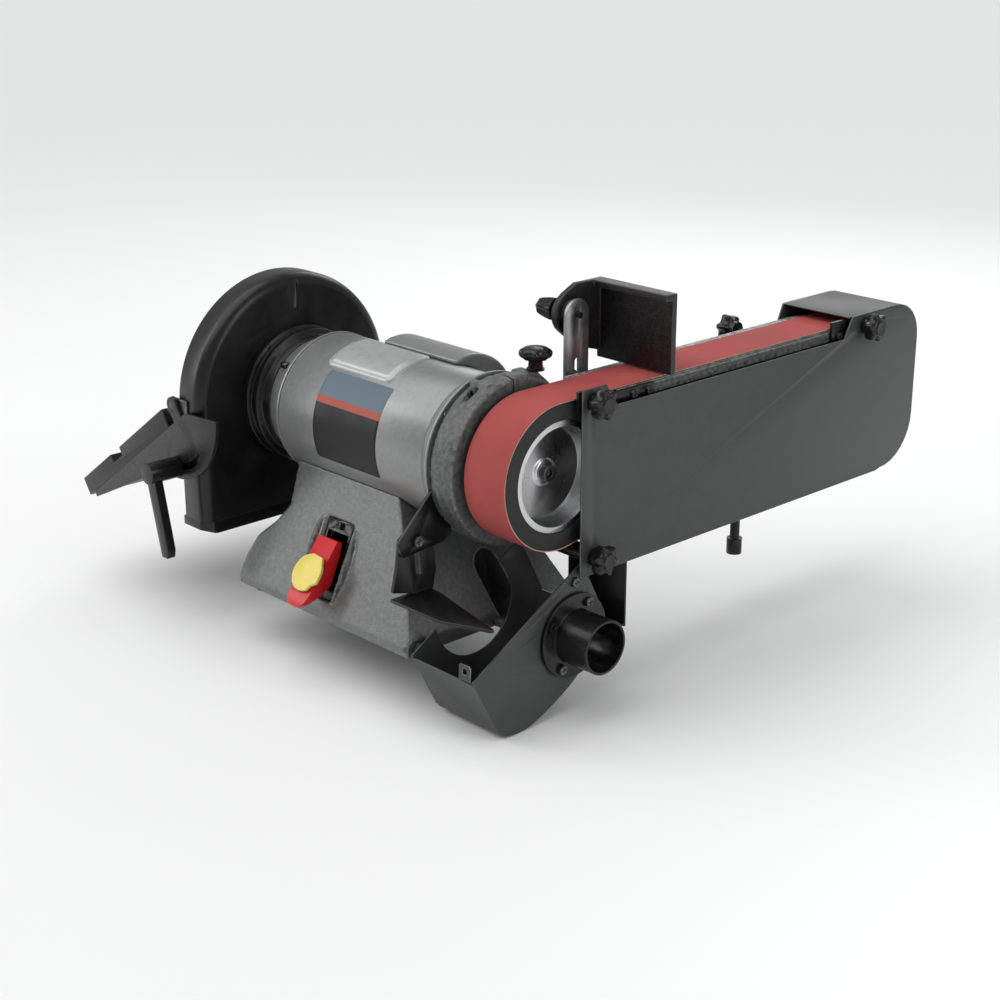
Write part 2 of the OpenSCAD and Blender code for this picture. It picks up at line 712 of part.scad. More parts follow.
module platen() color("gray") on_axis() difference() {
  union() {
    translate([platen_x0, platen_y0, platen_z0])
      cube([platen_x1 - platen_x0, platen_len, platen_t - 1.5]);
    translate([platen_x0 + 6, platen_y0, platen_z0])
      cube([platen_x1 - platen_x0 - 8, platen_len, platen_t]);
  }
  for (y = screw_ys) translate([web_x1 + 20, y, platen_z0 - eps])
    cylinder(r = 2.5, h = 7.5, $fn = 24);
  translate([0, stop_bolt[0], platen_z0 + 5]) xcyl(3, platen_x0 - eps, platen_x0 + 9, 32);
  translate([0, lever_y, platen_z0 + 5.5]) xcyl(stud_r + fit, platen_x0 - eps, platen_x0 + 12, 32);
  for (y = [84, 104, platen_y1 - 26, platen_y1 - 10])
    translate([0, y, platen_z0 + 5]) xcyl(2.5, platen_x1 - 7, platen_x1 + eps, 24);
}

// Closed loop round two circles: the wheel at the origin and the idler
module loop(rw, ri) {
  circle(r = rw, $fn = 120);
  translate([idler_y, idler_z]) circle(r = ri, $fn = 96);
  polygon([[0, rw], rw * [cos(belt_slope - 90), sin(belt_slope - 90)],
    [idler_y, idler_z] + ri * [cos(belt_slope - 90), sin(belt_slope - 90)],
    [idler_y, idler_z + ri]]);
}

module sanding_belt() color("indianred") on_axis() side_plate(belt_x0, belt_x1) difference() {
  loop(belt_out + gap, idler_out);
  loop(belt_in + gap, idler_in);
}

function cover_rear(t) = concat(
  arc([cover_y1 - 39, cover_crest - 39], 39 - t, 90, 0, 8),
  arc([cover_y1 - 50, cover_z0 + 50], 50 - t, 0, -90, 8));

// Sheet shell beside the motor, closed behind the idler
module inner_cover() color("dimgray") on_axis() {
  difference() {
    side_plate(shell_x0, shell_x1) polygon(concat([[46, cover_z0], [46, cover_top - 2],
      [cover_y1 - 128, cover_top - 2], [cover_y1 - 118, cover_crest]], cover_rear(0)));
    xcyl(motor_r + 9, shell_x0 - eps, shell_x1 + eps, 96);
    translate([shell_x0 - eps, 44, 20]) cube([4, 62, 50]);
  }
  difference() {
    side_plate(shell_x1 - 0.1, cover_x0 - gap) difference() {
      polygon(concat([[90, cover_z0], [90, 0], [cover_y1 - 118, 0],
        [cover_y1 - 118, cover_crest]], cover_rear(0)));
      polygon(concat([[80, cover_z0 + sheet_t], [80, 10], [cover_y1 - 130, 10],
        [cover_y1 - 130, cover_crest - sheet_t]], cover_rear(sheet_t)));
    }
    translate([shell_x1, 80, -60]) cube([100, cover_y1 - 200, 70]);
    translate([shell_x1 - 1, lever_y - 12, cover_z0 - 1]) cube([13, 108, 4]);
  }
}

module cover_brackets() color("black") on_axis() {
  side_plate(platen_x1, platen_x1 + 3) difference() {
    polygon([[cover_y0 + 1, 56], [cover_y0 + 1, 75], [36, 75], [44, 66], [112, 66], [112, 55.5],
      [44, 55.5], [40, 50]]);
    translate(knob_ft) circle(r = stud_r + fit, $fn = 32);
    for (y = [84, 104]) translate([y, platen_z0 + 5]) circle(r = 2.5, $fn = 24);
  }
  side_plate(platen_x1, platen_x1 + 3) difference() {
    translate([platen_y1 - 36, 56]) square([54, 19]);
    translate(knob_rt) circle(r = stud_r + fit, $fn = 32);
    for (y = [platen_y1 - 26, platen_y1 - 10])
      translate([y, platen_z0 + 5]) circle(r = 2.5, $fn = 24);
  }
  translate([0, knob_fb[0], knob_fb[1]]) difference() {
    xcyl(7, web_x1, cover_x0 - gap, 36);
    xcyl(stud_r + fit, cover_x0 - 20, cover_x0, 32);
  }
  for (y = [84, 104, platen_y1 - 26, platen_y1 - 10])
    translate([platen_x1 + 3, y, platen_z0 + 5]) pan_screw(2.5, 9.5, 4);
}

module arm_lock_knob() color("black") on_axis() translate([ring_x0 + 18, 36, 76])
rotate([0, -90, 0]) {
  xcyl(stud_r, -14, 8, 24);
  xcyl(9, 0.3, 1.3, 32);
  xcyl(7, 4, 10, 36);
  difference() {
    xcyl(16, 9, 20, 60);
    for (a = [0 : 45 : 315]) rotate([a, 0, 0]) translate([0, 18, 0]) xcyl(4.2, 8, 21, 24);
  }
  xcyl(11, 20, 22, 36);
}

// ---------------------------------------------------------------- idler carriage

module tension_bar() color("gainsboro") on_axis() translate([bar_x, 0, idler_z]) {
  ycyl(bar_r, guide_y0 - 10, clevis_y0 + 1);
  difference() {
    translate([-8, clevis_y0, -13]) cube([16, clevis_y1 - clevis_y0, 26]);
    translate([-9, clevis_y0 + 6, -yoke_h / 2 - gap]) cube([18, 20, yoke_h + 2 * gap]);
  }
  translate([0, yoke_pin_y, -12]) cylinder(r = 4, h = 24, $fn = 36);
}

module tension_spring() color("silver") on_axis() translate([bar_x, 0, idler_z])
  for (i = [0 : 3]) translate([0, guide_y1 + 2 + i * 4.6, 0]) difference() {
    ycyl(11.5, 0, 2);
    ycyl(bar_r + 0.5, -1, 3);
  }

module idler_yoke() color("dimgray") on_axis() translate([0, 0, idler_z]) difference() {
  union() {
    translate([idler_x0 - yoke_gap - yoke_t, clevis_y0 + 7.5, -yoke_h / 2])
      cube([idler_x1 - idler_x0 + 2 * (yoke_gap + yoke_t), 13, yoke_h]);
    for (x = [idler_x0 - yoke_gap - yoke_t, idler_x1 + yoke_gap]) translate([x, clevis_y0 + 7.5, -yoke_h / 2])
      cube([yoke_t, idler_y - clevis_y0 + 3, yoke_h]);
  }
  translate([bar_x, yoke_pin_y, -20]) cylinder(r = 4 + fit, h = 40, $fn = 36);
  translate([0, idler_y, 0]) xcyl(axle_r, idler_x0 - 10, idler_x1 + 10, 36);
}

module idler_axle() color("gainsboro") on_axis() translate([0, idler_y, idler_z]) {
  xcyl(axle_r, idler_x0 - yoke_gap - yoke_t, idler_x1 + yoke_gap + yoke_t, 36);
}

// Crowned so that the belt centres itself
module idler_roller() color("silver") on_axis() translate([0, idler_y, idler_z])
turned([[axle_r + fit, idler_x0], [idler_r - crown - 4, idler_x0], [idler_r - crown - 3, idler_x0 + 1],
  [idler_r - crown, idler_x0 + 1], [idler_r, belt_mid - 8], [idler_r, belt_mid + 8],
  [idler_r - crown, idler_x1 - 1], [idler_r - crown - 3, idler_x1 - 1],
  [idler_r - crown - 4, idler_x1], [axle_r + fit, idler_x1]]);

module tension_lever() color("#222222") on_axis() translate([0, lever_y, 0]) difference() {
  union() {
    side_plate(lever_x0, lever_x1) union() {
      translate([0, lever_z]) circle(r = 9);
      translate([-6, cover_z0 - 28]) square([12, lever_z - cover_z0 + 28]);
    }
    translate([(lever_x0 + lever_x1) / 2, 0, cover_z0 - 68]) {
      cylinder(r = 5, h = 44, $fn = 36);
      translate([0, 0, -14]) cylinder(r = 8, h = 17, $fn = 48);
    }
  }
  translate([0, 0, lever_z]) xcyl(4 + fit, lever_x0 - 1, lever_x1 + 1, 36);
}

module tracking_knob() color("black") on_axis() translate([shell_x0 - 4, lever_y, platen_z0 + 5.5])
  mirror([1, 0, 0]) lobed_knob(knob_r, platen_x0 + 10 - shell_x0 + 4, 16);

// ---------------------------------------------------------------- side cover

module side_cover() color("dimgray") on_axis() difference() {
  union() {
    side_plate(cover_x0, cover_x1) polygon(concat([[cover_y0, cover_z0 - 1.8],
      [cover_y0, cover_crest], [cover_y0 + 30, cover_crest], [cover_y0 + 40, cover_top],
      [cover_y1 - 126, cover_top], [cover_y1 - 114, cover_crest]], cover_rear(0),
      [[cover_y1 - 58, cover_z0 - 1.8]]));
    translate([cover_x0 - 13, 30, cover_z0 - 1.8]) cube([13.5, cover_y1 - 88, sheet_t]);
  }
  for (k = [knob_ft, knob_fb, knob_rt])
    translate([0, k[0], k[1]]) xcyl(stud_r + gap, cover_x0 - eps, cover_x1 + eps, 32);
}

module cover_knob(at, stud) color("black") on_axis() translate([cover_x1 + gap, at[0], at[1]])
  lobed_knob(knob_r, stud);

module knob_front_top() cover_knob(knob_ft, cover_x1 + gap - platen_x1);

module knob_front_bottom() cover_knob(knob_fb, 16);

module knob_rear_top() cover_knob(knob_rt, cover_x1 + gap - platen_x1);

// ---------------------------------------------------------------- work stop

module stop_bracket() color("gray") on_axis() side_plate(strap_x0, strap_x1) difference() {
  union() {
    translate(stop_bolt) circle(r = 14.5);
    translate([stop_bolt[0] - 14.5, 22]) square([29, stop_bolt[1] - 22]);
  }
  translate(stop_bolt) circle(r = stud_r + fit, $fn = 32);
  for (z = [32, 74]) translate([stop_bolt[0], z]) circle(r = stud_r + gap, $fn = 32);
  translate([stop_bolt[0] - stud_r - gap, 32]) square([2 * (stud_r + gap), 42]);
}

module work_stop() color("black") on_axis() difference() {
  union() {
    translate([ear_x0 + 6, stop_y, 68.8]) cube([belt_x1 + 10 - ear_x0 - 6, 6, 75]);
    translate([ear_x0 + 6, stop_y - 9, 137.5]) cube([belt_x1 + 10 - ear_x0 - 6, 10, 6.3]);
    side_plate(ear_x0 + 4, ear_x0 + 10) polygon(concat(
      [[stop_y + 6, 143.8], [98, 143.8], [82, 136]], arc(stop_bolt, 20, 120, 230, 8),
      [[100, 84], [stop_y + 6, 74]]));
    translate([0, stop_bolt[0], stop_bolt[1]]) xcyl(12, ear_x0, ear_x1, 48);
  }
  translate([0, stop_bolt[0], stop_bolt[1]]) xcyl(stud_r + fit, ear_x0 - 1, ear_x1 + 1, 32);
}

module stop_knob() color("black") on_axis() translate([ear_x0 - gap, stop_bolt[0], stop_bolt[1]]) {
  xcyl(stud_r, -5, strap_x1 - ear_x0 + 3, 24);
  xcyl(5.5, strap_x1 - ear_x0 + 0.6, strap_x1 - ear_x0 + 4.5, 6);
  mirror([1, 0, 0]) {
    xcyl(8, 0, 8, 36);
    difference() {
      xcyl(12, 7, 30, 60);
      for (a = [0 : 60 : 300]) rotate([a, 0, 0]) translate([0, 14, 0]) xcyl(4, 6, 31, 24);
    }
  }
}

// ---------------------------------------------------------------- tool rest

module tool_rest_bracket() color("black") on_axis() side_plate(rest_x0, rest_x0 + 3)
difference() {
  polygon([[-62, -6], [-50, -62], [-60, -68], [-108, -72], [-114, -58], [-100, -44]]);
  circle(r = boss_r + 0.5);
  translate(rest_bolt) circle(r = stud_r, $fn = 32);
}

module tool_rest() color("black") on_axis() {
  side_plate(rest_x0 - 4, rest_x0 - 0.3) translate(rest_bolt) rotate(rest_lean) difference() {
    polygon([[-18, 6], [-6, 12], [12, 12], [20, -8], [20, -36], [12, -58], [-32, -40],
      [-24, -18]]);
    translate([-stud_r - gap, -rest_travel - 3]) square([2 * (stud_r + gap), rest_travel + 3]);
    circle(r = stud_r + gap, $fn = 32);
    translate([0, -rest_travel - 3]) circle(r = stud_r + gap, $fn = 32);
  }
  translate([rest_x0 - 4, 0, -113]) linear_extrude(height = 3)
    polygon([[0, -118], [66, -118], [112, -99.4], [112, -96.5], [16, -74], [0, -74]]);
}

// ---------------------------------------------------------------- dust hood

module dust_hood() color("dimgray") on_axis() {
  difference() {
    side_plate(hood_x0, hood_x1) polygon(hood_outline);
    side_plate(hood_x0 + sheet_t, hood_x1 - sheet_t) polygon(inward(hood_outline, sheet_t));
    side_plate(hood_x0 + sheet_t, hood_x1 - sheet_t) polygon([[60, -80], [20, -70],
      [-125, -150], [-110, -164], [16, -90], [49, -141], [60, -141]]);
    side_plate(hood_x0 - eps, hood_x0 + 3) translate([-35.5, -134]) circle(r = 47, $fn = 96);
    side_plate(hood_x1 - 3, hood_x1 + eps) translate(port_c) circle(r = port_r - 2.5);
    translate([0, port_c[0], port_c[1]]) at_port_screws()
      xcyl(2.5, hood_x1 - 3, hood_x1 + eps, 24);
    translate([0, hood_screw[0], hood_screw[1]]) xcyl(2.5, hood_x1 - 3, hood_x1 + eps, 24);
  }
  for (p = hood_posts) translate([0, p[0], p[1]]) xcyl(5, base_w / 2, hood_x0, 32);
}

module at_port_screws() for (a = [60, 150, 240]) translate([0, 33 * cos(a), 33 * sin(a)])
  children();

module dust_port() color("black") on_axis() translate([0, port_c[0], port_c[1]]) difference() {
  union() {
    xcyl(port_flange_r, hood_x1, hood_x1 + 4, 96);
    xcyl(port_r, hood_x1, hood_x1 + port_len, 96);
  }
  xcyl(port_r - 2.5, hood_x1 - eps, hood_x1 + port_len + eps, 96);
  at_port_screws() xcyl(2.5, hood_x1 - eps, hood_x1 + 5, 24);
}

// Flap that hangs behind the hood, on a foot hooked to the hood's back edge
module rear_deflector() color("#1c1c1c") on_axis() side_plate(hood_x0 + 5, hood_x1 - 2.5)
  polygon([[50, -157], [84, -165], [84, -97.5], [82, -97.5], [82, -162.5], [50, -155]]);

module panel_screws() color("gray") on_axis() {
  translate([hood_x1, hood_screw[0], hood_screw[1]]) pan_screw(2.5, 3);
  translate([hood_x1 + 4, port_c[0], port_c[1]]) at_port_screws() pan_screw(2.5, 5.5);
  on_face(switch_x, switch_top) translate([0, -5.5, 0]) rotate([0, -90, 0]) pan_screw(2, 5, 3.5);
  translate([rest_x0 + 3, rest_bolt[0], rest_bolt[1]]) pan_screw(stud_r, 8, 5.5);
}

base();
feet();
motor_shell();
left_bell();
right_bell();
stator();
windings();
bearings();
bell_screws();
badge_pad();
rating_label();
capacitor_box();
cord_gland();
switch_plate();
switch_box();
panel_screws();
disc_guard();
guard_sump();
guard_collar();
table_bracket();
tool_rest_bracket();
dust_hood();
dust_port();
rear_deflector();
motor_shaft();
rotor();
disc_plate();
abrasive_disc();
disc_screws();
contact_wheel();
wheel_tyre();
wheel_screw();
switch_paddle();
switch_key();
disc_table();
table_trunnions();
table_lever();
tool_rest();
arm_frame();
arm_screws();
platen();
sanding_belt();
inner_cover();
cover_brackets();
arm_lock_knob();
tension_bar();
tension_spring();
tension_lever();
idler_yoke();
idler_axle();
idler_roller();
tracking_knob();
side_cover();
knob_front_top();
knob_front_bottom();
knob_rear_top();
stop_bracket();
work_stop();
stop_knob();
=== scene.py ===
import json
from math import cos, pi, radians, sin, sqrt

import bmesh
import bpy
from mathutils import Matrix, Vector


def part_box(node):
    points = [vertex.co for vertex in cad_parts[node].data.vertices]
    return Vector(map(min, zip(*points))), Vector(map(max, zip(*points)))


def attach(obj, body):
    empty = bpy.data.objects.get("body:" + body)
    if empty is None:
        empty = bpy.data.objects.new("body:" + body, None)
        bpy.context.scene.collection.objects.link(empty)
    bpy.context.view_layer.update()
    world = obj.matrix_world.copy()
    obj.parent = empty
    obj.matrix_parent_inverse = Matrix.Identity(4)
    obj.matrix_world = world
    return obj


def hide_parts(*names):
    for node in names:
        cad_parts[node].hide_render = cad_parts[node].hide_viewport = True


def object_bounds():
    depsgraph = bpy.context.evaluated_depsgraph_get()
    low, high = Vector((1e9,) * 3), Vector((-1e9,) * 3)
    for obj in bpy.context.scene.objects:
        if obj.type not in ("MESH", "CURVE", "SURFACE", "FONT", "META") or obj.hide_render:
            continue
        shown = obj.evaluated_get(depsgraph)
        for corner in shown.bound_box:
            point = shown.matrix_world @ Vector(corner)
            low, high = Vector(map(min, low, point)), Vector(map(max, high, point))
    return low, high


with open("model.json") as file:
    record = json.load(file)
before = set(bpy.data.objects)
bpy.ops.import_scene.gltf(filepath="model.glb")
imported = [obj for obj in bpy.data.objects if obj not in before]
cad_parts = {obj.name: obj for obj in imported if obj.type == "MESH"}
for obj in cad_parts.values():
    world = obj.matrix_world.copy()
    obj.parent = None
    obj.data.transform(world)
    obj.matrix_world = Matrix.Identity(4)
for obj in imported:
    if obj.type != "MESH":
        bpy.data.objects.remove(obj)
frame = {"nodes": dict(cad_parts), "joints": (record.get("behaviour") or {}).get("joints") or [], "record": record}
cad_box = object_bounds()

# ---------------------------------------------------------------------------------------------
# The camera and the lamps. The machine is seen from the belt side, a little from above, under
# a broad skylight, with a strip lamp on each side and one behind, in a pale room.

camera_turn, camera_dip = radians(46.72), radians(19.58)
camera_data = bpy.data.cameras.new("camera")
camera_data.lens, camera_data.sensor_width = 66.72, 36
camera = bpy.data.objects.new("camera", camera_data)
bpy.context.scene.collection.objects.link(camera)
camera.location = (1.2919, -1.0868, 0.6989)
looking = Vector((-sin(camera_turn) * cos(camera_dip), cos(camera_turn) * cos(camera_dip),
                  -sin(camera_dip)))
camera.rotation_euler = looking.to_track_quat("-Z", "Y").to_euler()
bpy.context.scene.camera = camera
bpy.context.scene.view_settings.view_transform = "Standard"

world = bpy.data.worlds.new("room")
bpy.context.scene.world = world
world.use_nodes = True
world.node_tree.nodes["Background"].inputs["Color"].default_value = (0.93, 0.94, 0.95, 1)
world.node_tree.nodes["Background"].inputs["Strength"].default_value = 0.42


def lamp(name, place, aim, width, height, power):
    data = bpy.data.lights.new(name, "AREA")
    data.shape, data.size, data.size_y, data.energy = "RECTANGLE", width, height, power
    light = bpy.data.objects.new(name, data)
    bpy.context.scene.collection.objects.link(light)
    light.location = place
    light.rotation_euler = (Vector(aim) - Vector(place)).to_track_quat("-Z", "Y").to_euler()


lamp("left_strip", (-1.5, -1.3, 0.9), (0, 0, 0.15), 0.4, 1.5, 9)
lamp("right_strip", (1.6, 0.2, 0.8), (0.2, 0.15, 0.15), 0.5, 1.2, 6)
lamp("behind", (-0.8, 1.7, 1.2), (0, 0.1, 0.15), 1.2, 0.8, 7)
sky_data = bpy.data.lights.new("skylight", "SUN")
sky_data.energy, sky_data.angle = 1.75, radians(70)
sky = bpy.data.objects.new("skylight", sky_data)
bpy.context.scene.collection.objects.link(sky)
sky.rotation_euler = Vector((0.25, 0.35, -1)).to_track_quat("-Z", "Y").to_euler()

# ---------------------------------------------------------------------------------------------
# The floor: one pale level surface just below the lowest edge of the dust hood, which hangs
# lower than the feet of the base.

stage_paint = bpy.data.materials.new("floor_white")
stage_paint.use_nodes = True
tree = stage_paint.node_tree
shader = tree.nodes["Principled BSDF"]
shader.inputs["Roughness"].default_value = 0.9
cloudy = tree.nodes.new("ShaderNodeTexNoise")
cloudy.inputs["Scale"].default_value = 3
shades = tree.nodes.new("ShaderNodeValToRGB")
shades.color_ramp.elements[0].color = (0.86, 0.86, 0.86, 1)
shades.color_ramp.elements[1].color = (0.89, 0.89, 0.89, 1)
tree.links.new(cloudy.outputs["Fac"], shades.inputs["Fac"])
tree.links.new(shades.outputs["Color"], shader.inputs["Base Color"])


def slab(name, low, high):
    shape = bmesh.new()
    bmesh.ops.create_cube(shape, size=1)
    for v in shape.verts:
        v.co = [low[i] if v.co[i] < 0 else high[i] for i in range(3)]
    mesh = bpy.data.meshes.new(name)
    shape.to_mesh(mesh)
    shape.free()
    mesh.materials.append(stage_paint)
    slab_object = bpy.data.objects.new(name, mesh)
    bpy.context.scene.collection.objects.link(slab_object)


floor_half, floor_bottom, floor_drop = 25, -0.09, 0.0005
slab("floor", (-floor_half, -floor_half, floor_bottom),
     (floor_half, floor_half, cad_box[0][2] - floor_drop))

# ---------------------------------------------------------------------------------------------
# Base: one hollow iron casting with a saddle for the motor and a finger scoop on each side of
# the switch, shot-blasted and sprayed with grey paint that has metal flake in it. The paint
# rounds every edge, and its corners are painted lighter: partly wear, partly a painted highlight.

mm = 0.001

def grain_group():
    """Fine grain and slow mottling, painted lighter where the surface is most convex: edge wear and a painted
    highlight.
    """
    group = bpy.data.node_groups.new("cast_grain", "ShaderNodeTree")
    for name, kind, value in (("Dark", "NodeSocketColor", (0.1, 0.1, 0.1, 1)),
                              ("Light", "NodeSocketColor", (0.3, 0.3, 0.3, 1)),
                              ("WornAndHighlight", "NodeSocketColor", (0.6, 0.6, 0.6, 1)),
                              ("Grain", "NodeSocketFloat", 900.0),
                              ("Mottle", "NodeSocketFloat", 30.0),
                              ("WearAndHighlight", "NodeSocketFloat", 0.5),
                              ("Smooth", "NodeSocketFloat", 0.3),
                              ("Rough", "NodeSocketFloat", 0.5)):
        socket = group.interface.new_socket(name, in_out="INPUT", socket_type=kind)
        socket.default_value = value
    for name, kind in (("Colour", "NodeSocketColor"), ("Roughness", "NodeSocketFloat"),
                       ("Height", "NodeSocketFloat")):
        group.interface.new_socket(name, in_out="OUTPUT", socket_type=kind)
    nodes, links = group.nodes, group.links
    given, result = nodes.new("NodeGroupInput"), nodes.new("NodeGroupOutput")
    place = nodes.new("ShaderNodeTexCoord")
    grain = nodes.new("ShaderNodeTexNoise")
    grain.inputs["Detail"].default_value = 3
    mottle = nodes.new("ShaderNodeTexNoise")
    mottle.inputs["Detail"].default_value = 5
    for noise, scale in ((grain, "Grain"), (mottle, "Mottle")):
        links.new(place.outputs["Object"], noise.inputs["Vector"])
        links.new(given.outputs[scale], noise.inputs["Scale"])
    both = nodes.new("ShaderNodeMath")
    both.operation = "MULTIPLY_ADD"
    both.inputs[1].default_value = 0.35
    links.new(grain.outputs["Fac"], both.inputs[0])
    links.new(mottle.outputs["Fac"], both.inputs[2])
    spread = nodes.new("ShaderNodeMapRange")
    spread.inputs["From Min"].default_value, spread.inputs["From Max"].default_value = 0.5, 0.85
    links.new(both.outputs[0], spread.inputs["Value"])
    shade = nodes.new("ShaderNodeMix")
    shade.data_type = "RGBA"
    links.new(spread.outputs["Result"], shade.inputs["Factor"])
    links.new(given.outputs["Dark"], shade.inputs["A"])
    links.new(given.outputs["Light"], shade.inputs["B"])
    # The most convex edges are painted lighter: edge wear and a painted highlight.
    shape = nodes.new("ShaderNodeNewGeometry")
    edge = nodes.new("ShaderNodeMapRange")
    edge.inputs["From Min"].default_value, edge.inputs["From Max"].default_value = 0.52, 0.62
    links.new(shape.outputs["Pointiness"], edge.inputs["Value"])
    patchy = nodes.new("ShaderNodeMath")
    patchy.operation = "MULTIPLY"
    links.new(edge.outputs["Result"], patchy.inputs[0])
    links.new(spread.outputs["Result"], patchy.inputs[1])
    amount = nodes.new("ShaderNodeMath")
    amount.operation = "MULTIPLY"
    links.new(patchy.outputs[0], amount.inputs[0])
    links.new(given.outputs["WearAndHighlight"], amount.inputs[1])
    worn_and_highlight = nodes.new("ShaderNodeMix")
    worn_and_highlight.data_type = "RGBA"
    links.new(amount.outputs[0], worn_and_highlight.inputs["Factor"])
    links.new(shade.outputs["Result"], worn_and_highlight.inputs["A"])
    links.new(given.outputs["WornAndHighlight"], worn_and_highlight.inputs["B"])
    gloss = nodes.new("ShaderNodeMapRange")
    links.new(both.outputs[0], gloss.inputs["Value"])
    gloss.inputs["From Min"].default_value, gloss.inputs["From Max"].default_value = 0.45, 0.9
    links.new(given.outputs["Smooth"], gloss.inputs["To Min"])
    links.new(given.outputs["Rough"], gloss.inputs["To Max"])
    links.new(worn_and_highlight.outputs["Result"], result.inputs["Colour"])
    links.new(gloss.outputs["Result"], result.inputs["Roughness"])
    links.new(grain.outputs["Fac"], result.inputs["Height"])
    return group


cast_grain = grain_group()


def finish(name, dark, light, smooth, rough, grain=900, mottle=30, depth=0.1, wear_and_highlight=0.0,
           worn_and_highlight=(0.5, 0.5, 0.5), metal=0.0, coat=0.0, rings=None, shine=0.4):
    """A paint, plastic or metal whose colour, gloss and relief all vary over the surface."""
    material = bpy.data.materials.new(name)
    material.use_nodes = True
    nodes, links = material.node_tree.nodes, material.node_tree.links
    shader = nodes["Principled BSDF"]
    shader.inputs["Metallic"].default_value = metal
    shader.inputs["Specular IOR Level"].default_value = shine
    shader.inputs["Coat Weight"].default_value = coat
    shader.inputs["Coat Roughness"].default_value = 0.2
    skin = nodes.new("ShaderNodeGroup")
    skin.node_tree = cast_grain
    for socket, value in (("Dark", (*dark, 1)), ("Light", (*light, 1)), ("WornAndHighlight", (*worn_and_highlight, 1)),
                          ("Grain", grain), ("Mottle", mottle), ("WearAndHighlight", wear_and_highlight),
                          ("Smooth", smooth), ("Rough", rough)):
        skin.inputs[socket].default_value = value
    bump = nodes.new("ShaderNodeBump")
    bump.inputs["Strength"].default_value = depth
    bump.inputs["Distance"].default_value = 0.0006
    links.new(skin.outputs["Height"], bump.inputs["Height"])
    links.new(skin.outputs["Colour"], shader.inputs["Base Color"])
    links.new(skin.outputs["Roughness"], shader.inputs["Roughness"])
    links.new(bump.outputs["Normal"], shader.inputs["Normal"])
    if rings:
        tool_marks = nodes.new("ShaderNodeGroup")
        tool_marks.node_tree = rings[0]
        tool_marks.inputs["Centre"].default_value = rings[1]
        finer = nodes.new("ShaderNodeBump")
        finer.inputs["Strength"].default_value = rings[2]
        finer.inputs["Distance"].default_value = 0.0004
        links.new(tool_marks.outputs["Height"], finer.inputs["Height"])
        links.new(bump.outputs["Normal"], finer.inputs["Normal"])
        links.new(finer.outputs["Normal"], shader.inputs["Normal"])
    return material


body_of = {node: body for body, nodes in frame["record"]["behaviour"]["bodies"].items()
           for node in nodes}


def settle(piece, material, *nodes, body=None, like=None):
    """Paints a piece, puts it on its body and lets it stand for its CAD nodes."""
    if len(piece.data.materials) > 1:
        piece.data.materials[0] = material
    else:
        piece.data.materials.clear()
        for m in (material if isinstance(material, list) else [material]):
            piece.data.materials.append(m)
    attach(piece, body or body_of[nodes[0]])
    if nodes:
        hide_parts(*nodes)
    return piece


def place(name, mesh):
    piece = bpy.data.objects.new(name, mesh)
    bpy.context.scene.collection.objects.link(piece)
    return piece


def blank(node):
    """The rough form of a piece, with its flat faces whole again."""
    shape = bmesh.new()
    shape.from_mesh(frame["nodes"][node].data)
    bmesh.ops.remove_doubles(shape, verts=shape.verts, dist=2e-6)
    bmesh.ops.dissolve_limit(shape, angle_limit=radians(0.4), verts=shape.verts,
                             edges=shape.edges)
    mesh = bpy.data.meshes.new(node + "_blank")
    shape.to_mesh(mesh)
    shape.free()
    return mesh


def worked(piece, crease=32):
    """Carries out the piece's modifiers and shades it, keeping the edges past the crease."""
    graph = bpy.context.evaluated_depsgraph_get()
    mesh = bpy.data.meshes.new_from_object(piece.evaluated_get(graph))
    piece.modifiers.clear()
    piece.data = mesh
    for face in mesh.polygons:
        face.use_smooth = True
    mesh.set_sharp_from_angle(angle=radians(crease))
    return piece


def eased(piece, width, segments=2, limit=32, edge=None):
    """Breaks the piece's sharp edges to a small radius, in the edge material if there is one; the edge materials
    are lighter, a painted highlight along the edges.
    """
    bevel = piece.modifiers.new("eased", "BEVEL")
    if edge:
        piece.data.materials.clear()
        piece.data.materials.append(edge)
        piece.data.materials.append(edge)
        bevel.material = 1
    bevel.width, bevel.segments, bevel.limit_method = width, segments, "ANGLE"
    bevel.angle_limit = radians(limit)
    bevel.harden_normals = False
    return worked(piece, 40)


def cast(piece, voxel, rounds):
    """Rounds a piece all over, as sand-cast iron comes out of its mould."""
    remesh = piece.modifiers.new("skin", "REMESH")
    remesh.mode, remesh.voxel_size = "VOXEL", voxel
    soften = piece.modifiers.new("rounded", "SMOOTH")
    soften.factor, soften.iterations = 0.5, rounds
    return worked(piece, 60)


# Its corners are painted lighter: edge wear and a painted highlight.
silver_paint = finish("silver_grey_cast_paint", (0.135, 0.14, 0.138), (0.19, 0.195, 0.193),
                      0.28, 0.38, grain=1000, mottle=260, depth=0.55, wear_and_highlight=0.9, metal=0.55)
base = cast(place("base_casting", blank("base")), 1.5 * mm, 11)
low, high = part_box("switch_plate")
plate_x, half_plate = (low.x + high.x) / 2, (high.x - low.x) / 2
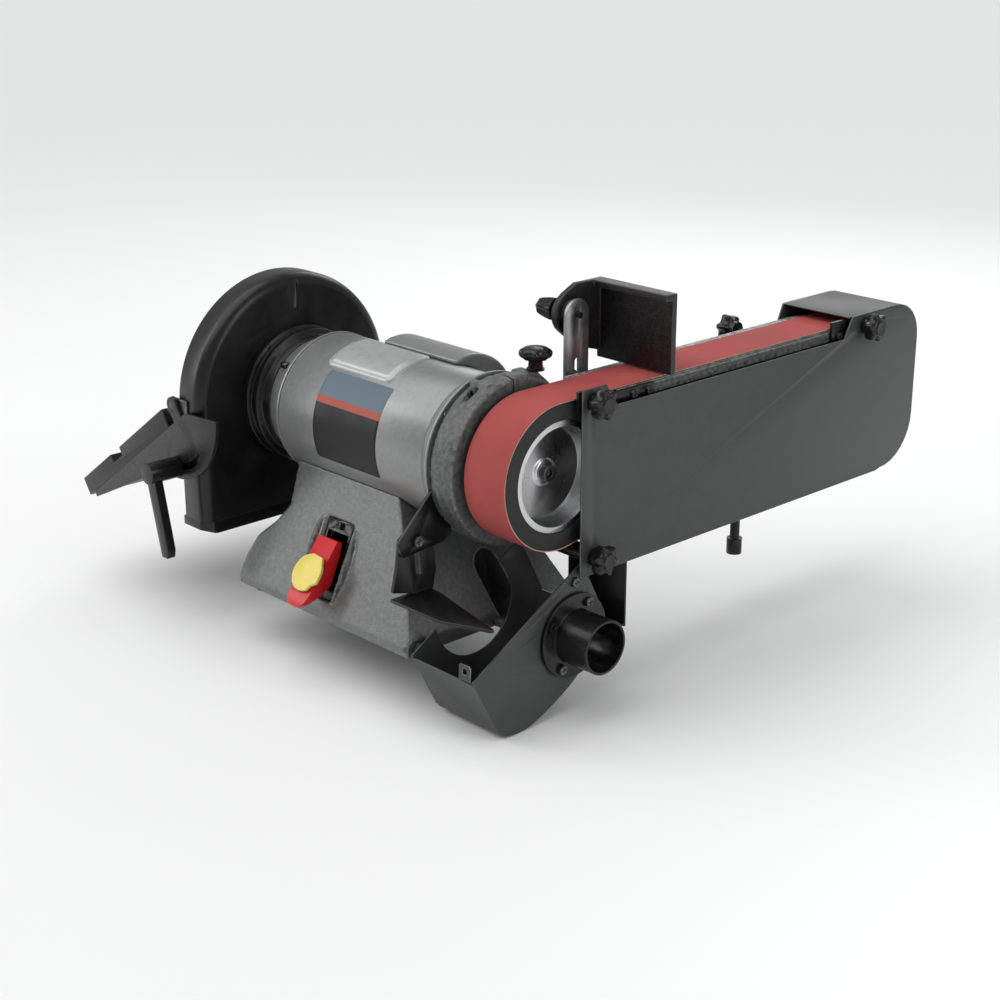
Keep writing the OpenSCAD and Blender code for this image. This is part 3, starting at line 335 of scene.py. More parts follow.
# The foot and the head of the sloping front face
front_low, front_high = Vector((0, -0.105, 0.014)), Vector((0, -0.054, 0.131))
up_face = (front_high - front_low).normalized()
out_of_face = Vector((0, -up_face.z, up_face.y))
scoop_low, scoop_high, scoop_reach = 0.010, 0.086, 18 * mm
scoop_wide, scoop_deep, scoop_slope = 10 * mm, 6 * mm, 2.2 * mm
gap_at_foot, gap_grows = 0.5 * mm, 4.5 * mm
ridge_tall, ridge_wide = 1.8 * mm, 1.5 * mm
skin_depth = 2.5 * mm
for v in base.data.vertices:
    out = abs(v.co.x - plate_x) - half_plate
    along = (v.co - front_low).dot(up_face)
    off_face = (v.co - front_low).dot(out_of_face)
    if off_face > -skin_depth and scoop_low < along < scoop_high and -1 * mm < out < scoop_reach:
        t = (along - scoop_low) / (scoop_high - scoop_low)
        inner = gap_at_foot + gap_grows * t
        inside = min(out - inner, inner + scoop_wide * sin(pi * t) ** 0.7 - out)
        floor = max(0.0, min(1.0, inside / scoop_slope))
        v.co -= out_of_face * scoop_deep * floor * floor * (3 - 2 * floor)
        v.co += out_of_face * ridge_tall * 2.7 ** (-(inside / ridge_wide) ** 2)
settle(base, silver_paint, "base")

# ---------------------------------------------------------------------------------------------
# Feet: four moulded rubber pucks, one under each corner of the base. The bench bolts pass
# through them and hold them to the casting.

foot_rubber = finish("foot_rubber", (0.012, 0.012, 0.012), (0.03, 0.03, 0.03), 0.6, 0.85,
                     grain=1500, depth=0.2)
settle(eased(place("rubber_feet", blank("feet")), 0.8 * mm), foot_rubber, "feet")

# ---------------------------------------------------------------------------------------------
# Motor: a drawn and turned housing between two cast end bells, painted in the same grey as the
# base but smoother. The right bell flares to a rim, and its screws sit in lugs on the rim.

motor_paint = finish("silver_grey_smooth_paint", (0.235, 0.24, 0.238), (0.265, 0.27, 0.268),
                     0.29, 0.34, grain=1300, mottle=200, depth=0.10, metal=0.45)
settle(eased(place("motor_housing", blank("motor_shell")), 0.5 * mm), motor_paint, "motor_shell")
settle(eased(place("left_end_bell", blank("left_bell")), 1.2 * mm, 3), motor_paint, "left_bell")
settle(eased(place("right_end_bell", blank("right_bell")), 1.2 * mm, 3), motor_paint,
       "right_bell")

# ---------------------------------------------------------------------------------------------
# Inside the motor: stacked steel sheet, varnished copper windings, two ball bearings and the
# rotor pressed on the ground shaft.


def ring_group():
    """Tool marks of a lathe: fine rings round an axis along X through Centre."""
    group = bpy.data.node_groups.new("turned_rings", "ShaderNodeTree")
    group.interface.new_socket("Centre", in_out="INPUT", socket_type="NodeSocketVector")
    group.interface.new_socket("Height", in_out="OUTPUT", socket_type="NodeSocketFloat")
    nodes, links = group.nodes, group.links
    given, result = nodes.new("NodeGroupInput"), nodes.new("NodeGroupOutput")
    where = nodes.new("ShaderNodeTexCoord")
    away = nodes.new("ShaderNodeVectorMath")
    away.operation = "SUBTRACT"
    links.new(where.outputs["Object"], away.inputs[0])
    links.new(given.outputs["Centre"], away.inputs[1])
    flat = nodes.new("ShaderNodeVectorMath")
    flat.operation = "MULTIPLY"
    flat.inputs[1].default_value = (0, 1, 1)
    links.new(away.outputs[0], flat.inputs[0])
    radius = nodes.new("ShaderNodeVectorMath")
    radius.operation = "LENGTH"
    links.new(flat.outputs[0], radius.inputs[0])
    axial = nodes.new("ShaderNodeSeparateXYZ")
    links.new(away.outputs[0], axial.inputs[0])
    joined = nodes.new("ShaderNodeMath")
    joined.operation = "ADD"
    links.new(radius.outputs["Value"], joined.inputs[0])
    links.new(axial.outputs["X"], joined.inputs[1])
    marks = nodes.new("ShaderNodeTexNoise")
    marks.noise_dimensions = "1D"
    marks.inputs["Scale"].default_value = 1600
    marks.inputs["Detail"].default_value = 2
    links.new(joined.outputs[0], marks.inputs["W"])
    links.new(marks.outputs["Fac"], result.inputs["Height"])
    return group


turned_rings = ring_group()
shaft_z = next(j for j in frame["joints"] if j["name"] == "spindle_spin")["pos_m"][2]
on_shaft = (0, 0, shaft_z)
ground_steel = finish("ground_steel", (0.42, 0.42, 0.43), (0.56, 0.56, 0.57), 0.2, 0.34,
                      grain=2500, depth=0.04, metal=1.0, rings=(turned_rings, on_shaft, 0.15))
core_steel = finish("stacked_core_steel", (0.10, 0.10, 0.11), (0.20, 0.20, 0.21), 0.35, 0.55,
                    metal=0.9, rings=(turned_rings, on_shaft, 0.6))
varnished_copper = finish("varnished_copper", (0.35, 0.12, 0.04), (0.62, 0.28, 0.12), 0.25, 0.45,
                          grain=1200, depth=0.5, metal=0.7)
for node, name, material in (("stator", "stator_core", core_steel),
                             ("windings", "winding_heads", varnished_copper),
                             ("bearings", "ball_bearings", ground_steel),
                             ("rotor", "rotor_core", core_steel),
                             ("motor_shaft", "motor_shaft_bar", ground_steel)):
    settle(eased(place(name, blank(node)), 0.4 * mm, 1), material, node)

# ---------------------------------------------------------------------------------------------
# Bell screws and the other machine screws: blackened steel, pressed and rolled, with oil left
# on them.

# Its edges are painted lighter: edge wear and a painted highlight.
screw_black = finish("oiled_black_steel", (0.03, 0.03, 0.032), (0.10, 0.10, 0.105), 0.25, 0.42,
                     grain=2500, depth=0.08, metal=0.9, wear_and_highlight=0.5)
for node in ("bell_screws", "panel_screws", "arm_screws", "disc_screws", "wheel_screw"):
    settle(eased(place(node + "_black", blank(node)), 0.35 * mm, 2), screw_black, node)

# ---------------------------------------------------------------------------------------------
# Badge pad: a blank metal plate, bent to the housing and glued to its top, with a smooth raised
# panel inside a narrow rim. It carries no mark.

badge_paint = finish("badge_panel_paint", (0.38, 0.385, 0.38), (0.42, 0.425, 0.42), 0.26, 0.34,
                     grain=1200, mottle=120, depth=0.06, metal=0.4)


def curved_pad(name, x0, x1, a0, a1, heights, margin, corner, columns, rows):
    """A pad wrapped on the housing. Angles run from the top towards the front, and each height
    rises from its own margin inside the edge."""
    motor_r, seat, slope = 70 * mm, 0.4 * mm, 1.4 * mm
    shape = bmesh.new()
    length, width = x1 - x0, (a1 - a0) * motor_r
    grid = []
    for i in range(columns + 1):
        row = []
        for j in range(rows + 1):
            u, v = length * i / columns, width * j / rows
            dx, dy = min(u, length - u), min(v, width - v)
            if dx < corner and dy < corner:
                edge = corner - sqrt((corner - dx) ** 2 + (corner - dy) ** 2)
            else:
                edge = min(dx, dy)
            rise = -seat
            for start, height in zip(margin, heights):
                t = max(0.0, min(1.0, (edge - start) / slope))
                rise += height * t * t * (3 - 2 * t)
            angle = a0 + v / motor_r
            r = motor_r + rise
            row.append(shape.verts.new((x0 + u, -r * sin(angle), shaft_z + r * cos(angle))))
        grid.append(row)
    for i in range(columns):
        for j in range(rows):
            shape.faces.new((grid[i][j], grid[i + 1][j], grid[i + 1][j + 1], grid[i][j + 1]))
    bmesh.ops.recalc_face_normals(shape, faces=shape.faces)
    mesh = bpy.data.meshes.new(name)
    shape.to_mesh(mesh)
    shape.free()
    for face in mesh.polygons:
        face.use_smooth = True
    if sum(face.normal.z * face.area for face in mesh.polygons) < 0:
        mesh.flip_normals()
    return place(name, mesh)


badge = curved_pad("badge_pad_blank", -0.057, 0.0375, radians(-8), radians(38),
                   (2.6 * mm, 1.3 * mm), (0.2 * mm, 5 * mm), 7 * mm, 100, 56)
settle(badge, badge_paint, "badge_pad")

# ---------------------------------------------------------------------------------------------
# Rating label: a thin printed foil stuck on the housing, in plain colour bands with no words:
# blue-grey above, a red stripe, then black.

label_ink = finish("label_foil", (0.02, 0.02, 0.022), (0.03, 0.03, 0.032), 0.30, 0.42,
                   grain=1500, depth=0.03, shine=0.2)
tree = label_ink.node_tree
where = tree.nodes.new("ShaderNodeTexCoord")
lowered = tree.nodes.new("ShaderNodeVectorMath")
lowered.operation = "SUBTRACT"
lowered.inputs[1].default_value = on_shaft
tree.links.new(where.outputs["Object"], lowered.inputs[0])
parts = tree.nodes.new("ShaderNodeSeparateXYZ")
tree.links.new(lowered.outputs[0], parts.inputs[0])
turn = tree.nodes.new("ShaderNodeMath")
turn.operation = "ARCTAN2"
forward = tree.nodes.new("ShaderNodeMath")
forward.operation = "MULTIPLY"
forward.inputs[1].default_value = -1
tree.links.new(parts.outputs["Y"], forward.inputs[0])
tree.links.new(forward.outputs[0], turn.inputs[0])
tree.links.new(parts.outputs["Z"], turn.inputs[1])
bands = tree.nodes.new("ShaderNodeValToRGB")
bands.color_ramp.interpolation = "CONSTANT"
scale = tree.nodes.new("ShaderNodeMapRange")
scale.inputs["From Min"].default_value, scale.inputs["From Max"].default_value = (
    radians(40), radians(116))
tree.links.new(turn.outputs[0], scale.inputs["Value"])
tree.links.new(scale.outputs["Result"], bands.inputs["Fac"])
label_bands = [(0.0, (0.11, 0.155, 0.19)), (0.285, (0.36, 0.075, 0.05)),
               (0.36, (0.012, 0.012, 0.013)), (0.975, (0.05, 0.05, 0.05))]
for i, (start, colour) in enumerate(label_bands):
    stop = bands.color_ramp.elements[i] if i < 2 else bands.color_ramp.elements.new(start)
    stop.position, stop.color = start, (*colour, 1)
tree.links.new(bands.outputs["Color"], tree.nodes["Principled BSDF"].inputs["Base Color"])
label = curved_pad("rating_label_foil", -0.046, 0.047, radians(40), radians(114),
                   (0.75 * mm,), (-0.6 * mm,), 3 * mm, 60, 60)
settle(label, label_ink, "rating_label")

# ---------------------------------------------------------------------------------------------
# Capacitor box: a small cast cover on the back of the motor, over the run capacitor, held by a
# screw on its top and painted with the motor.

settle(cast(place("capacitor_cover", blank("capacitor_box")), 1.5 * mm, 6), motor_paint,
       "capacitor_box")

# ---------------------------------------------------------------------------------------------
# Cord gland, switch plate and switch box: moulded black nylon. The box is a closed shell behind
# the plate.

moulded_black = finish("moulded_black_nylon", (0.004, 0.004, 0.0045), (0.008, 0.008, 0.0085), 0.20,
                       0.28, grain=1800, mottle=120, depth=0.06)
for node, name in (("cord_gland", "cord_gland_nut"), ("switch_plate", "switch_plate_moulding"),
                   ("switch_box", "switch_box_shell")):
    settle(eased(place(name, blank(node)), 0.5 * mm), moulded_black, node)

# ---------------------------------------------------------------------------------------------
# Switch paddle: bright red moulded plastic, a square block above that runs out into a tongue
# with a round tip. The yellow lock key plugs into it.


def outline_block(name, outline, thick, frame_matrix):
    """An outline drawn flat and given a thickness, then moved into place."""
    shape = bmesh.new()
    lower = [shape.verts.new((x, y, 0)) for x, y in outline]
    upper = [shape.verts.new((x, y, thick)) for x, y in outline]
    shape.faces.new(lower[::-1])
    shape.faces.new(upper)
    for i in range(len(outline)):
        j = (i + 1) % len(outline)
        shape.faces.new((lower[i], lower[j], upper[j], upper[i]))
    bmesh.ops.recalc_face_normals(shape, faces=shape.faces)
    mesh = bpy.data.meshes.new(name)
    shape.to_mesh(mesh)
    shape.free()
    mesh.transform(frame_matrix)
    if frame_matrix.determinant() < 0:
        mesh.flip_normals()
    return place(name, mesh)


def shaped(piece, other, how):
    """Cuts or joins another block, which is then thrown away."""
    tool = piece.modifiers.new("tool", "BOOLEAN")
    tool.object, tool.operation, tool.solver = other, how, "EXACT"
    worked(piece)
    bpy.data.objects.remove(other)
    return piece


def arc_points(cx, cy, r, start, end, count):
    return [(cx + r * cos(radians(start + (end - start) * i / count)),
             cy + r * sin(radians(start + (end - start) * i / count))) for i in range(count + 1)]


hinge = next(j for j in frame["joints"] if j["name"] == "paddle_press")["pos_m"]
face_frame = Matrix(((1, 0, 0, hinge[0]),
                     (0, up_face.y, out_of_face.y, hinge[1]),
                     (0, up_face.z, out_of_face.z, hinge[2]),
                     (0, 0, 0, 1)))
half_wide = 14
side_on = face_frame @ Matrix(((0, 0, 1, -half_wide * mm), (1, 0, 0, 0), (0, 1, 0, 0),
                               (0, 0, 0, 1)))
red_plastic = finish("red_moulded_plastic", (0.52, 0.008, 0.014), (0.62, 0.014, 0.02), 0.26, 0.38,
                     grain=1500, mottle=40, depth=0.05)
paddle_side = [(4, -4), (4, 2), (-12, 5.8), (-38, 12), (-50, 16.2), (-64, 21), (-66, 18.5),
               (-55, 8.5), (-42, -3), (-38, -6), (-8, -6)]
paddle = outline_block("switch_paddle_red", [(y * mm, z * mm) for y, z in paddle_side],
                       2 * half_wide * mm, side_on)
round_from = -52
plan = ([(-half_wide, 5), (half_wide, 5), (half_wide, round_from)]
        + arc_points(0, round_from, half_wide, 0, -180, 24)[1:-1] + [(-half_wide, round_from)])
plan_block = outline_block("plan", [(x * mm, y * mm) for x, y in plan], 40 * mm,
                           face_frame @ Matrix.Translation((0, 0, -12 * mm)))
paddle = eased(shaped(paddle, plan_block, "INTERSECT"), 0.9 * mm, 3)
settle(paddle, red_plastic, "switch_paddle")

# ---------------------------------------------------------------------------------------------
# Switch key: a flat yellow plug with a round head and a square tab; its blade goes through the
# paddle and frees the switch.

yellow_plastic = finish("yellow_moulded_plastic", (0.70, 0.56, 0.10), (0.80, 0.66, 0.16), 0.30,
                        0.42, grain=1500, mottle=40, depth=0.05)
head_r = 18.6
head = (arc_points(0, 0, head_r, 105, 302, 36) + [(12.5, -10.5), (18.4, -6.5)]
        + arc_points(0, 0, head_r, -8, 40, 8) + [(11, 18), (-3, 19)])
tilt = Matrix.Translation((0, -32 * mm, 12.7 * mm)) @ Matrix.Rotation(radians(-13.4), 4, "X")
key = outline_block("switch_key_yellow", [(x * mm, y * mm) for x, y in head], 3.3 * mm,
                    face_frame @ tilt)
blade_half, blade_y = 3.6 * mm, -32 * mm
blade = outline_block("blade", [(-blade_half, blade_y - blade_half),
                                (blade_half, blade_y - blade_half),
                                (blade_half, blade_y + blade_half),
                                (-blade_half, blade_y + blade_half)], 11 * mm,
                      face_frame @ Matrix.Translation((0, 0, 3 * mm)))
key = eased(shaped(key, blade, "UNION"), 0.7 * mm, 3)
settle(key, yellow_plastic, "switch_key")

# ---------------------------------------------------------------------------------------------
# Disc guard: a cast half shell round the disc, with a wide rounded rim, straight sides and a
# channel at the top. A shallow sump closes it below, and a ringed collar joins it to the motor.

guard_black = finish("satin_black_paint", (0.0035, 0.0035, 0.004), (0.007, 0.007, 0.0075), 0.28,
                     0.36, grain=1100, mottle=90, depth=0.10)
# Lighter black for the bevelled edges: thin paint there and a painted highlight along the edges.
black_edge_with_highlight = finish("thin_black_and_painted_highlight_on_edges", (0.012, 0.012, 0.0125), (0.035, 0.035, 0.036), 0.28,
                    0.40, grain=1200, mottle=50, depth=0.1)
low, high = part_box("disc_guard")
guard = place("disc_guard_shell", blank("disc_guard"))
half_channel, channel_low, channel_high, channel_deep = 4.5 * mm, 84 * mm, 125 * mm, 1.6 * mm
channel = outline_block("channel", [(-half_channel, channel_low), (half_channel, channel_low),
                                    (half_channel, channel_high), (-half_channel, channel_high)],
                        12 * mm, Matrix(((0, 0, 1, high.x - channel_deep), (1, 0, 0, 0),
                                         (0, 1, 0, shaft_z), (0, 0, 0, 1))))
guard = eased(shaped(guard, channel, "DIFFERENCE"), 0.8 * mm, 2)
settle(guard, guard_black, "disc_guard")
settle(eased(place("guard_sump_tray", blank("guard_sump")), 1.2 * mm, 3, edge=black_edge_with_highlight),
       guard_black, "guard_sump")
settle(eased(place("guard_collar_rings", blank("guard_collar")), 0.8 * mm, 2), guard_black,
       "guard_collar")

# ---------------------------------------------------------------------------------------------
# Disc: a turned aluminium plate, screwed to the flange of the shaft, and faced with a paper disc
# of red-brown grit that is stuck on.

turned_alloy = finish("turned_aluminium", (0.50, 0.505, 0.51), (0.62, 0.62, 0.625), 0.24, 0.36,
                      grain=1800, mottle=25, depth=0.04, metal=1.0,
                      rings=(turned_rings, on_shaft, 0.35))
grit_cloth = finish("red_grit_cloth", (0.30, 0.050, 0.045), (0.40, 0.075, 0.068), 0.75, 0.95,
                    grain=1500, mottle=14, depth=0.55)
settle(eased(place("disc_plate_turned", blank("disc_plate")), 0.6 * mm, 2), turned_alloy,
       "disc_plate")
settle(eased(place("abrasive_disc_paper", blank("abrasive_disc")), 0.3 * mm, 1), grit_cloth,
       "abrasive_disc")

# ---------------------------------------------------------------------------------------------
# Disc table: a black crinkle-painted casting with a milled slot for a mitre gauge and a web at
# each end that carries the tilt slot.

crinkle_black = finish("black_crinkle_paint", (0.003, 0.003, 0.0035), (0.012, 0.012, 0.0125), 0.30,
                       0.46, grain=620, mottle=260, depth=0.7)
settle(eased(place("disc_table_top", blank("disc_table")), 1.1 * mm, 3, edge=black_edge_with_highlight),
       crinkle_black, "disc_table")
settle(eased(place("table_webs", blank("table_trunnions")), 0.8 * mm, 2, edge=black_edge_with_highlight),
       crinkle_black, "table_trunnions")
settle(eased(place("table_bracket_plates", blank("table_bracket")), 0.4 * mm, 2), screw_black,
       "table_bracket")

# ---------------------------------------------------------------------------------------------
# Table lever: a moulded nylon hub over a steel insert, with one tapered handle. It screws on the
# stud that clamps the table's web to its bracket.

settle(eased(place("table_lock_lever", blank("table_lever")), 1.0 * mm, 3), moulded_black,
       "table_lever")

# ---------------------------------------------------------------------------------------------
# Tool rest: folded black steel, a curved arm with a curved slot that carries a thin tapered
# shelf in front of the belt. It hangs from a three-cornered plate on the motor bell.

settle(eased(place("rest_bracket_plate", blank("tool_rest_bracket")), 0.5 * mm, 2,
             edge=black_edge_with_highlight), guard_black, "tool_rest_bracket")
settle(eased(place("tool_rest_folded", blank("tool_rest")), 0.5 * mm, 2, edge=black_edge_with_highlight),
       guard_black, "tool_rest")

# ---------------------------------------------------------------------------------------------
# Dust hood: a spot-welded box of satin dark grey sheet steel under the belt wheel, on two posts
# from the base, with a moulded port for a hose and a flap behind it.

sheet_paint = finish("dark_grey_sheet_paint", (0.050, 0.053, 0.052), (0.058, 0.061, 0.060), 0.38,
                     0.44, grain=1500, mottle=60, depth=0.05, metal=0.2)
# Lighter metallic grey for the bevelled sheet edges: thin paint there and a painted highlight along the edges.
sheet_edge_with_highlight = finish("thin_paint_and_painted_highlight_on_sheet_edges", (0.16, 0.165, 0.163), (0.30, 0.305, 0.30), 0.30,
                    0.42, grain=1500, mottle=40, depth=0.05, metal=0.6)
settle(eased(place("dust_hood_box", blank("dust_hood")), 0.35 * mm, 2, edge=sheet_edge_with_highlight),
       sheet_paint, "dust_hood")
hood_low, hood_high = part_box("dust_hood")


def sheet_tab(name, x0, x1, tall, hole):
    """A tab that stands on the hood's front edge, with a square hole for a screw clip."""
    foot_z, lean, nip = 0.0145, 0.05, 2 * mm
    upright = Matrix(((1, 0, 0, (x0 + x1) / 2), (0, lean, -1, hood_low.y + 1.8 * mm),
                      (0, 1, lean, foot_z), (0, 0, 0, 1)))
    half = (x1 - x0) / 2
    outline = [(-half, 0), (half, 0), (half, tall - nip), (half - nip, tall),
               (nip - half, tall), (-half, tall - nip)]
    tab = outline_block(name, outline, 1.4 * mm, upright)
    if hole:
        middle = tall * 0.55
        punch = outline_block("punch", [(-hole, middle - hole), (hole, middle - hole),
                                        (hole, middle + hole), (-hole, middle + hole)], 6 * mm,
                              upright @ Matrix.Translation((0, 0, -3 * mm)))
        tab = shaped(tab, punch, "DIFFERENCE")
    settle(eased(tab, 0.3 * mm, 1, edge=sheet_edge_with_highlight), sheet_paint, body="stand", like="dust_hood")


sheet_tab("hood_clip_tab", hood_high.x - 19 * mm, hood_high.x - 4 * mm, 15 * mm, 2.6 * mm)
sheet_tab("hood_ear_left", hood_low.x + 1 * mm, hood_low.x + 5 * mm, 6 * mm, 0)
settle(eased(place("dust_port_moulding", blank("dust_port")), 0.8 * mm, 3), moulded_black,
       "dust_port")
settle(eased(place("rear_flap", blank("rear_deflector")), 0.5 * mm, 2, edge=black_edge_with_highlight),
       guard_black, "rear_deflector")

# ---------------------------------------------------------------------------------------------
# Contact wheel: a turned aluminium wheel on the end of the shaft, held by one screw, with a
# vulcanised rubber tyre that the belt runs on.

tyre_rubber = finish("tyre_rubber", (0.010, 0.010, 0.0105), (0.020, 0.020, 0.021), 0.55, 0.70,
                     grain=1400, mottle=90, depth=0.2, rings=(turned_rings, on_shaft, 0.3))
settle(eased(place("contact_wheel_turned", blank("contact_wheel")), 0.7 * mm, 3), turned_alloy,
       "contact_wheel")
settle(eased(place("wheel_tyre_rubber", blank("wheel_tyre")), 0.6 * mm, 2), tyre_rubber,
       "wheel_tyre")

# ---------------------------------------------------------------------------------------------
# Belt arm: one iron casting with the split ring that clamps on the motor bell, a web beside the
# belt and a flange that carries the platen.

# Its edges are painted lighter: edge wear and a painted highlight.
arm_paint = finish("dull_grey_cast_paint", (0.075, 0.078, 0.077), (0.145, 0.15, 0.148), 0.38,
                   0.52, grain=800, mottle=220, depth=0.7, wear_and_highlight=0.9, metal=0.4)
arm = cast(place("arm_casting", blank("arm_frame")), 1.4 * mm, 4)
ring_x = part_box("arm_frame")[0].x
ring_end, rim_wide, rim_step = 0.148, 9 * mm, 3 * mm
ring_r = max(sqrt(v.co.y ** 2 + (v.co.z - shaft_z) ** 2) for v in arm.data.vertices
             if v.co.x < ring_end and v.co.z < shaft_z)
for v in arm.data.vertices:
    r = sqrt(v.co.y ** 2 + (v.co.z - shaft_z) ** 2)
    if v.co.x < ring_x + rim_wide and ring_r - 2 * mm < r < ring_r + 0.6 * mm:
        v.co.y *= 1 - rim_step / r
        v.co.z = shaft_z + (v.co.z - shaft_z) * (1 - rim_step / r)
slit_front, slit_back, slit_low, slit_high = -3.4 * mm, -1.2 * mm, 60 * mm, 90 * mm
slit = outline_block("slit", [(slit_front, slit_low), (slit_back, slit_low),
                              (slit_back, slit_high), (slit_front, slit_high)], 40 * mm,
                     Matrix(((0, 0, 1, ring_x - 1 * mm), (1, 0, 0, 0), (0, 1, 0, shaft_z),
                             (0, 0, 0, 1))))
arm = worked(shaped(arm, slit, "DIFFERENCE"), 60)
settle(arm, arm_paint, "arm_frame")
settle(eased(place("platen_plate", blank("platen")), 1.0 * mm, 2), arm_paint, "platen")

# ---------------------------------------------------------------------------------------------
# Sanding belt: an endless loop of cloth with red-brown grit glued on its outer face. The pale
# cloth shows at its two cut edges.

belt_cloth = finish("belt_grit_cloth", (0.33, 0.052, 0.048), (0.42, 0.078, 0.072), 0.72, 0.9,
                    grain=1500, mottle=11, depth=0.5)
belt_backing = finish("belt_cloth_backing", (0.34, 0.20, 0.14), (0.46, 0.30, 0.22), 0.75,
                      0.9, grain=1800, mottle=60, depth=0.4)
belt = worked(place("sanding_belt_cloth", blank("sanding_belt")), 40)
settle(belt, [belt_cloth, belt_backing], "sanding_belt")
cut_edge = 0.9
for face in belt.data.polygons:
    if abs(face.normal.x) > cut_edge:
        face.material_index = 1

# ---------------------------------------------------------------------------------------------
# Covers: folded sheet steel in the hood's dark grey. The inner one stays on the arm, and the
# side one comes off when its three knobs are undone.

for node, name in (("inner_cover", "inner_cover_sheet"), ("side_cover", "side_cover_sheet")):
    settle(eased(place(name, blank(node)), 0.35 * mm, 2, edge=sheet_edge_with_highlight), sheet_paint, node)
settle(eased(place("cover_bracket_plates", blank("cover_brackets")), 0.5 * mm, 2,
             edge=black_edge_with_highlight), guard_black, "cover_brackets")

# ---------------------------------------------------------------------------------------------
# Knobs: moulded black nylon on steel studs, with deep scallops for the fingers and a domed
# crown.


def lobed_knob(name, node, direction, radius, lobes, bite, rings):
    """A scalloped knob. Each ring is its distance down the stud, its share of the radius and
    its share of the scallop's bite."""
    low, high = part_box(node)
    axis = Vector(direction)
    tip = Vector([high[i] if axis[i] > 0 else low[i] if axis[i] < 0 else 0 for i in range(3)])
    across = axis.orthogonal().normalized()
    other = axis.cross(across)
    centre = (low + high) / 2
    root = Vector([tip[i] if abs(axis[i]) > 0.5 else centre[i] for i in range(3)])
    shape = bmesh.new()
    around = 96
    previous = None
    for back, share, scallop in rings:
        loop = []
        for k in range(around):
            angle = 2 * pi * k / around
            lobe = (0.5 + 0.5 * cos(lobes * angle)) ** 1.5
            r = radius * share * (1 - bite * scallop * (1 - lobe))
            loop.append(shape.verts.new(root - axis * back
                                        + (across * cos(angle) + other * sin(angle)) * r))
        if previous:
            for k in range(around):
                j = (k + 1) % around
                shape.faces.new((previous[k], previous[j], loop[j], loop[k]))
        else:
            shape.faces.new(loop)
        previous = loop
    shape.faces.new(previous[::-1])
    bmesh.ops.recalc_face_normals(shape, faces=shape.faces)
    mesh = bpy.data.meshes.new(name)
    shape.to_mesh(mesh)
    shape.free()
    knob = worked(place(name, mesh), 50)
    return settle(knob, moulded_black, node)


star_rings = [(0.5 * mm, 0.08, 0), (0.3 * mm, 0.30, 0), (0.2 * mm, 0.44, 0), (1.6 * mm, 0.50, 0),
              (2.6 * mm, 0.62, 0.3), (2.2 * mm, 0.84, 0.9), (3.0 * mm, 0.95, 1),
              (5.0 * mm, 1.0, 1), (11.0 * mm, 0.98, 1), (13.4 * mm, 0.88, 1),
              (14.4 * mm, 0.60, 0.3), (15.4 * mm, 0.55, 0), (19.6 * mm, 0.56, 0),
              (19.7 * mm, 0.20, 0), (28 * mm, 0.195, 0)]
for node, name in (("knob_front_top", "cover_knob_front_top"),
                   ("knob_front_bottom", "cover_knob_front_bottom"),
                   ("knob_rear_top", "cover_knob_rear_top")):
    lobed_knob(name, node, (1, 0, 0), 14.9 * mm, 6, 0.27, star_rings)
lobed_knob("belt_tracking_knob", "tracking_knob", (-1, 0, 0), 14.9 * mm, 6, 0.27,
           star_rings[:-2] + [(19.7 * mm, 0.20, 0), (38 * mm, 0.195, 0)])
crown_rings = [(0.0, 0.12, 0), (0.3 * mm, 0.40, 0), (1.2 * mm, 0.66, 0.1), (2.4 * mm, 0.86, 0.5),
               (4.0 * mm, 0.97, 1), (6.5 * mm, 1.0, 1), (9.0 * mm, 0.95, 1), (11.0 * mm, 0.80, 1),
               (12.0 * mm, 0.48, 0.4), (14 * mm, 0.42, 0), (19.5 * mm, 0.44, 0),
               (20.0 * mm, 0.54, 0), (21.6 * mm, 0.54, 0), (21.7 * mm, 0.18, 0),
               (35.6 * mm, 0.18, 0)]
lobed_knob("arm_lock_knob_crown", "arm_lock_knob", (0, 0, 1), 15.4 * mm, 8, 0.16, crown_rings)
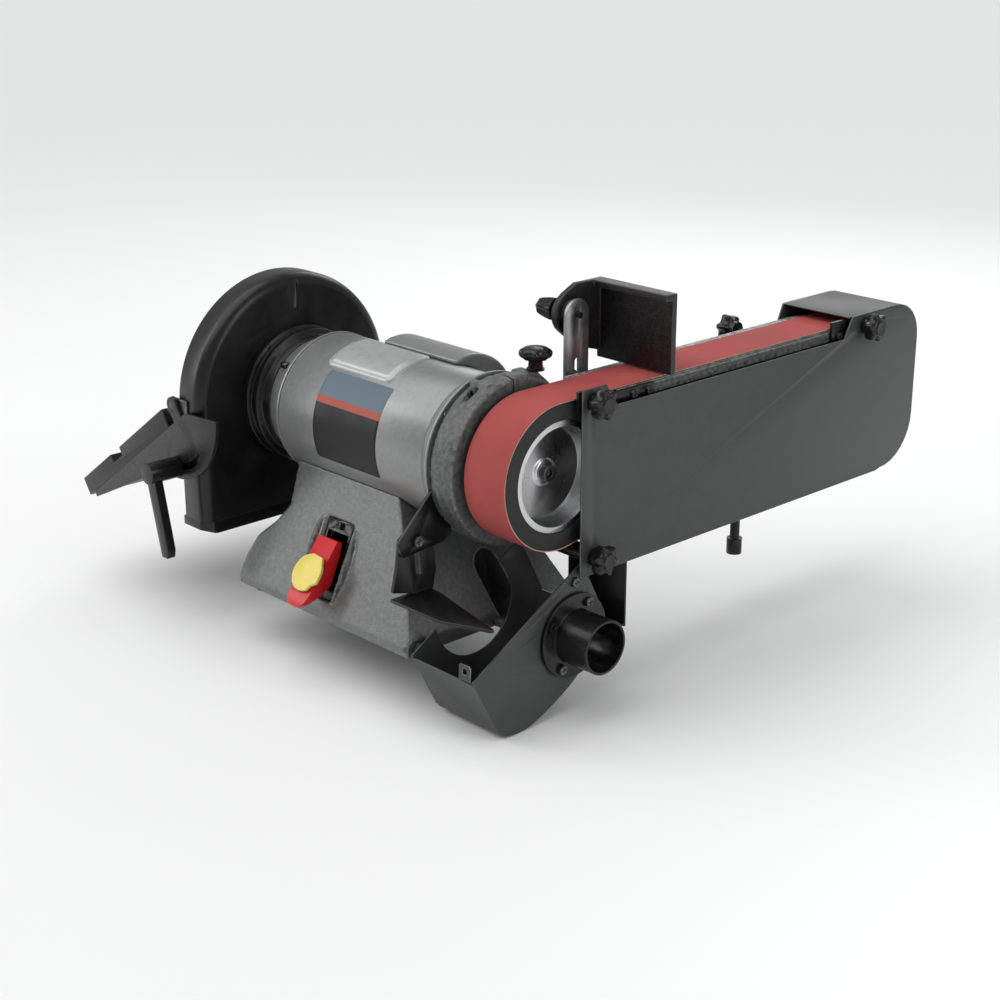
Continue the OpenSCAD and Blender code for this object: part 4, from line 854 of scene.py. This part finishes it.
cone_rings = [(0.0, 0.20, 0), (0.4 * mm, 0.52, 0.2), (1.6 * mm, 0.66, 0.6), (6 * mm, 0.78, 1),
              (14 * mm, 0.92, 1), (20 * mm, 0.99, 0.9), (22.5 * mm, 0.97, 0.3),
              (23.2 * mm, 0.70, 0), (30 * mm, 0.68, 0), (30.1 * mm, 0.25, 0),
              (53 * mm, 0.245, 0)]
lobed_knob("stop_clamp_knob", "stop_knob", (-1, 0, 0), 11.8 * mm, 6, 0.20, cone_rings)

# ---------------------------------------------------------------------------------------------
# Idler: a crowned aluminium roller on a steel axle in a forged yoke. The yoke rocks on the
# tension bar to steer the belt, and the bar slides in the arm against a spring.

idler_low, idler_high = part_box("idler_roller")
roller_alloy = finish("roller_aluminium", (0.50, 0.505, 0.51), (0.62, 0.62, 0.625), 0.24, 0.36,
                      grain=1800, mottle=25, depth=0.04, metal=1.0,
                      rings=(turned_rings, (idler_low + idler_high) / 2, 0.3))
for node, name, material, width in (
        ("idler_roller", "idler_roller_crowned", roller_alloy, 0.5),
        ("idler_axle", "idler_axle_bar", ground_steel, 0.5),
        ("idler_yoke", "idler_yoke_forged", screw_black, 1.0),
        ("tension_bar", "tension_bar_turned", ground_steel, 0.6),
        ("tension_spring", "tension_spring_rings", ground_steel, 0.6),
        ("tension_lever", "tension_lever_handle", moulded_black, 0.8)):
    settle(eased(place(name, blank(node)), width * mm, 2), material, node)

# ---------------------------------------------------------------------------------------------
# Work stop: a crinkle-painted casting across the belt, with a lip along its top. It turns on a
# slotted strap of bare steel, bolted to the platen's side.

# Its edges are painted lighter: edge wear and a painted highlight.
strap_steel = finish("rolled_bare_steel", (0.26, 0.26, 0.265), (0.38, 0.38, 0.385), 0.30, 0.48,
                     grain=1400, mottle=50, depth=0.10, metal=0.95, wear_and_highlight=0.4,
                     worn_and_highlight=(0.6, 0.6, 0.6))
settle(eased(place("stop_strap", blank("stop_bracket")), 0.6 * mm, 2), strap_steel,
       "stop_bracket")
settle(eased(place("work_stop_casting", blank("work_stop")), 1.3 * mm, 3, edge=black_edge_with_highlight),
       crinkle_black, "work_stop")
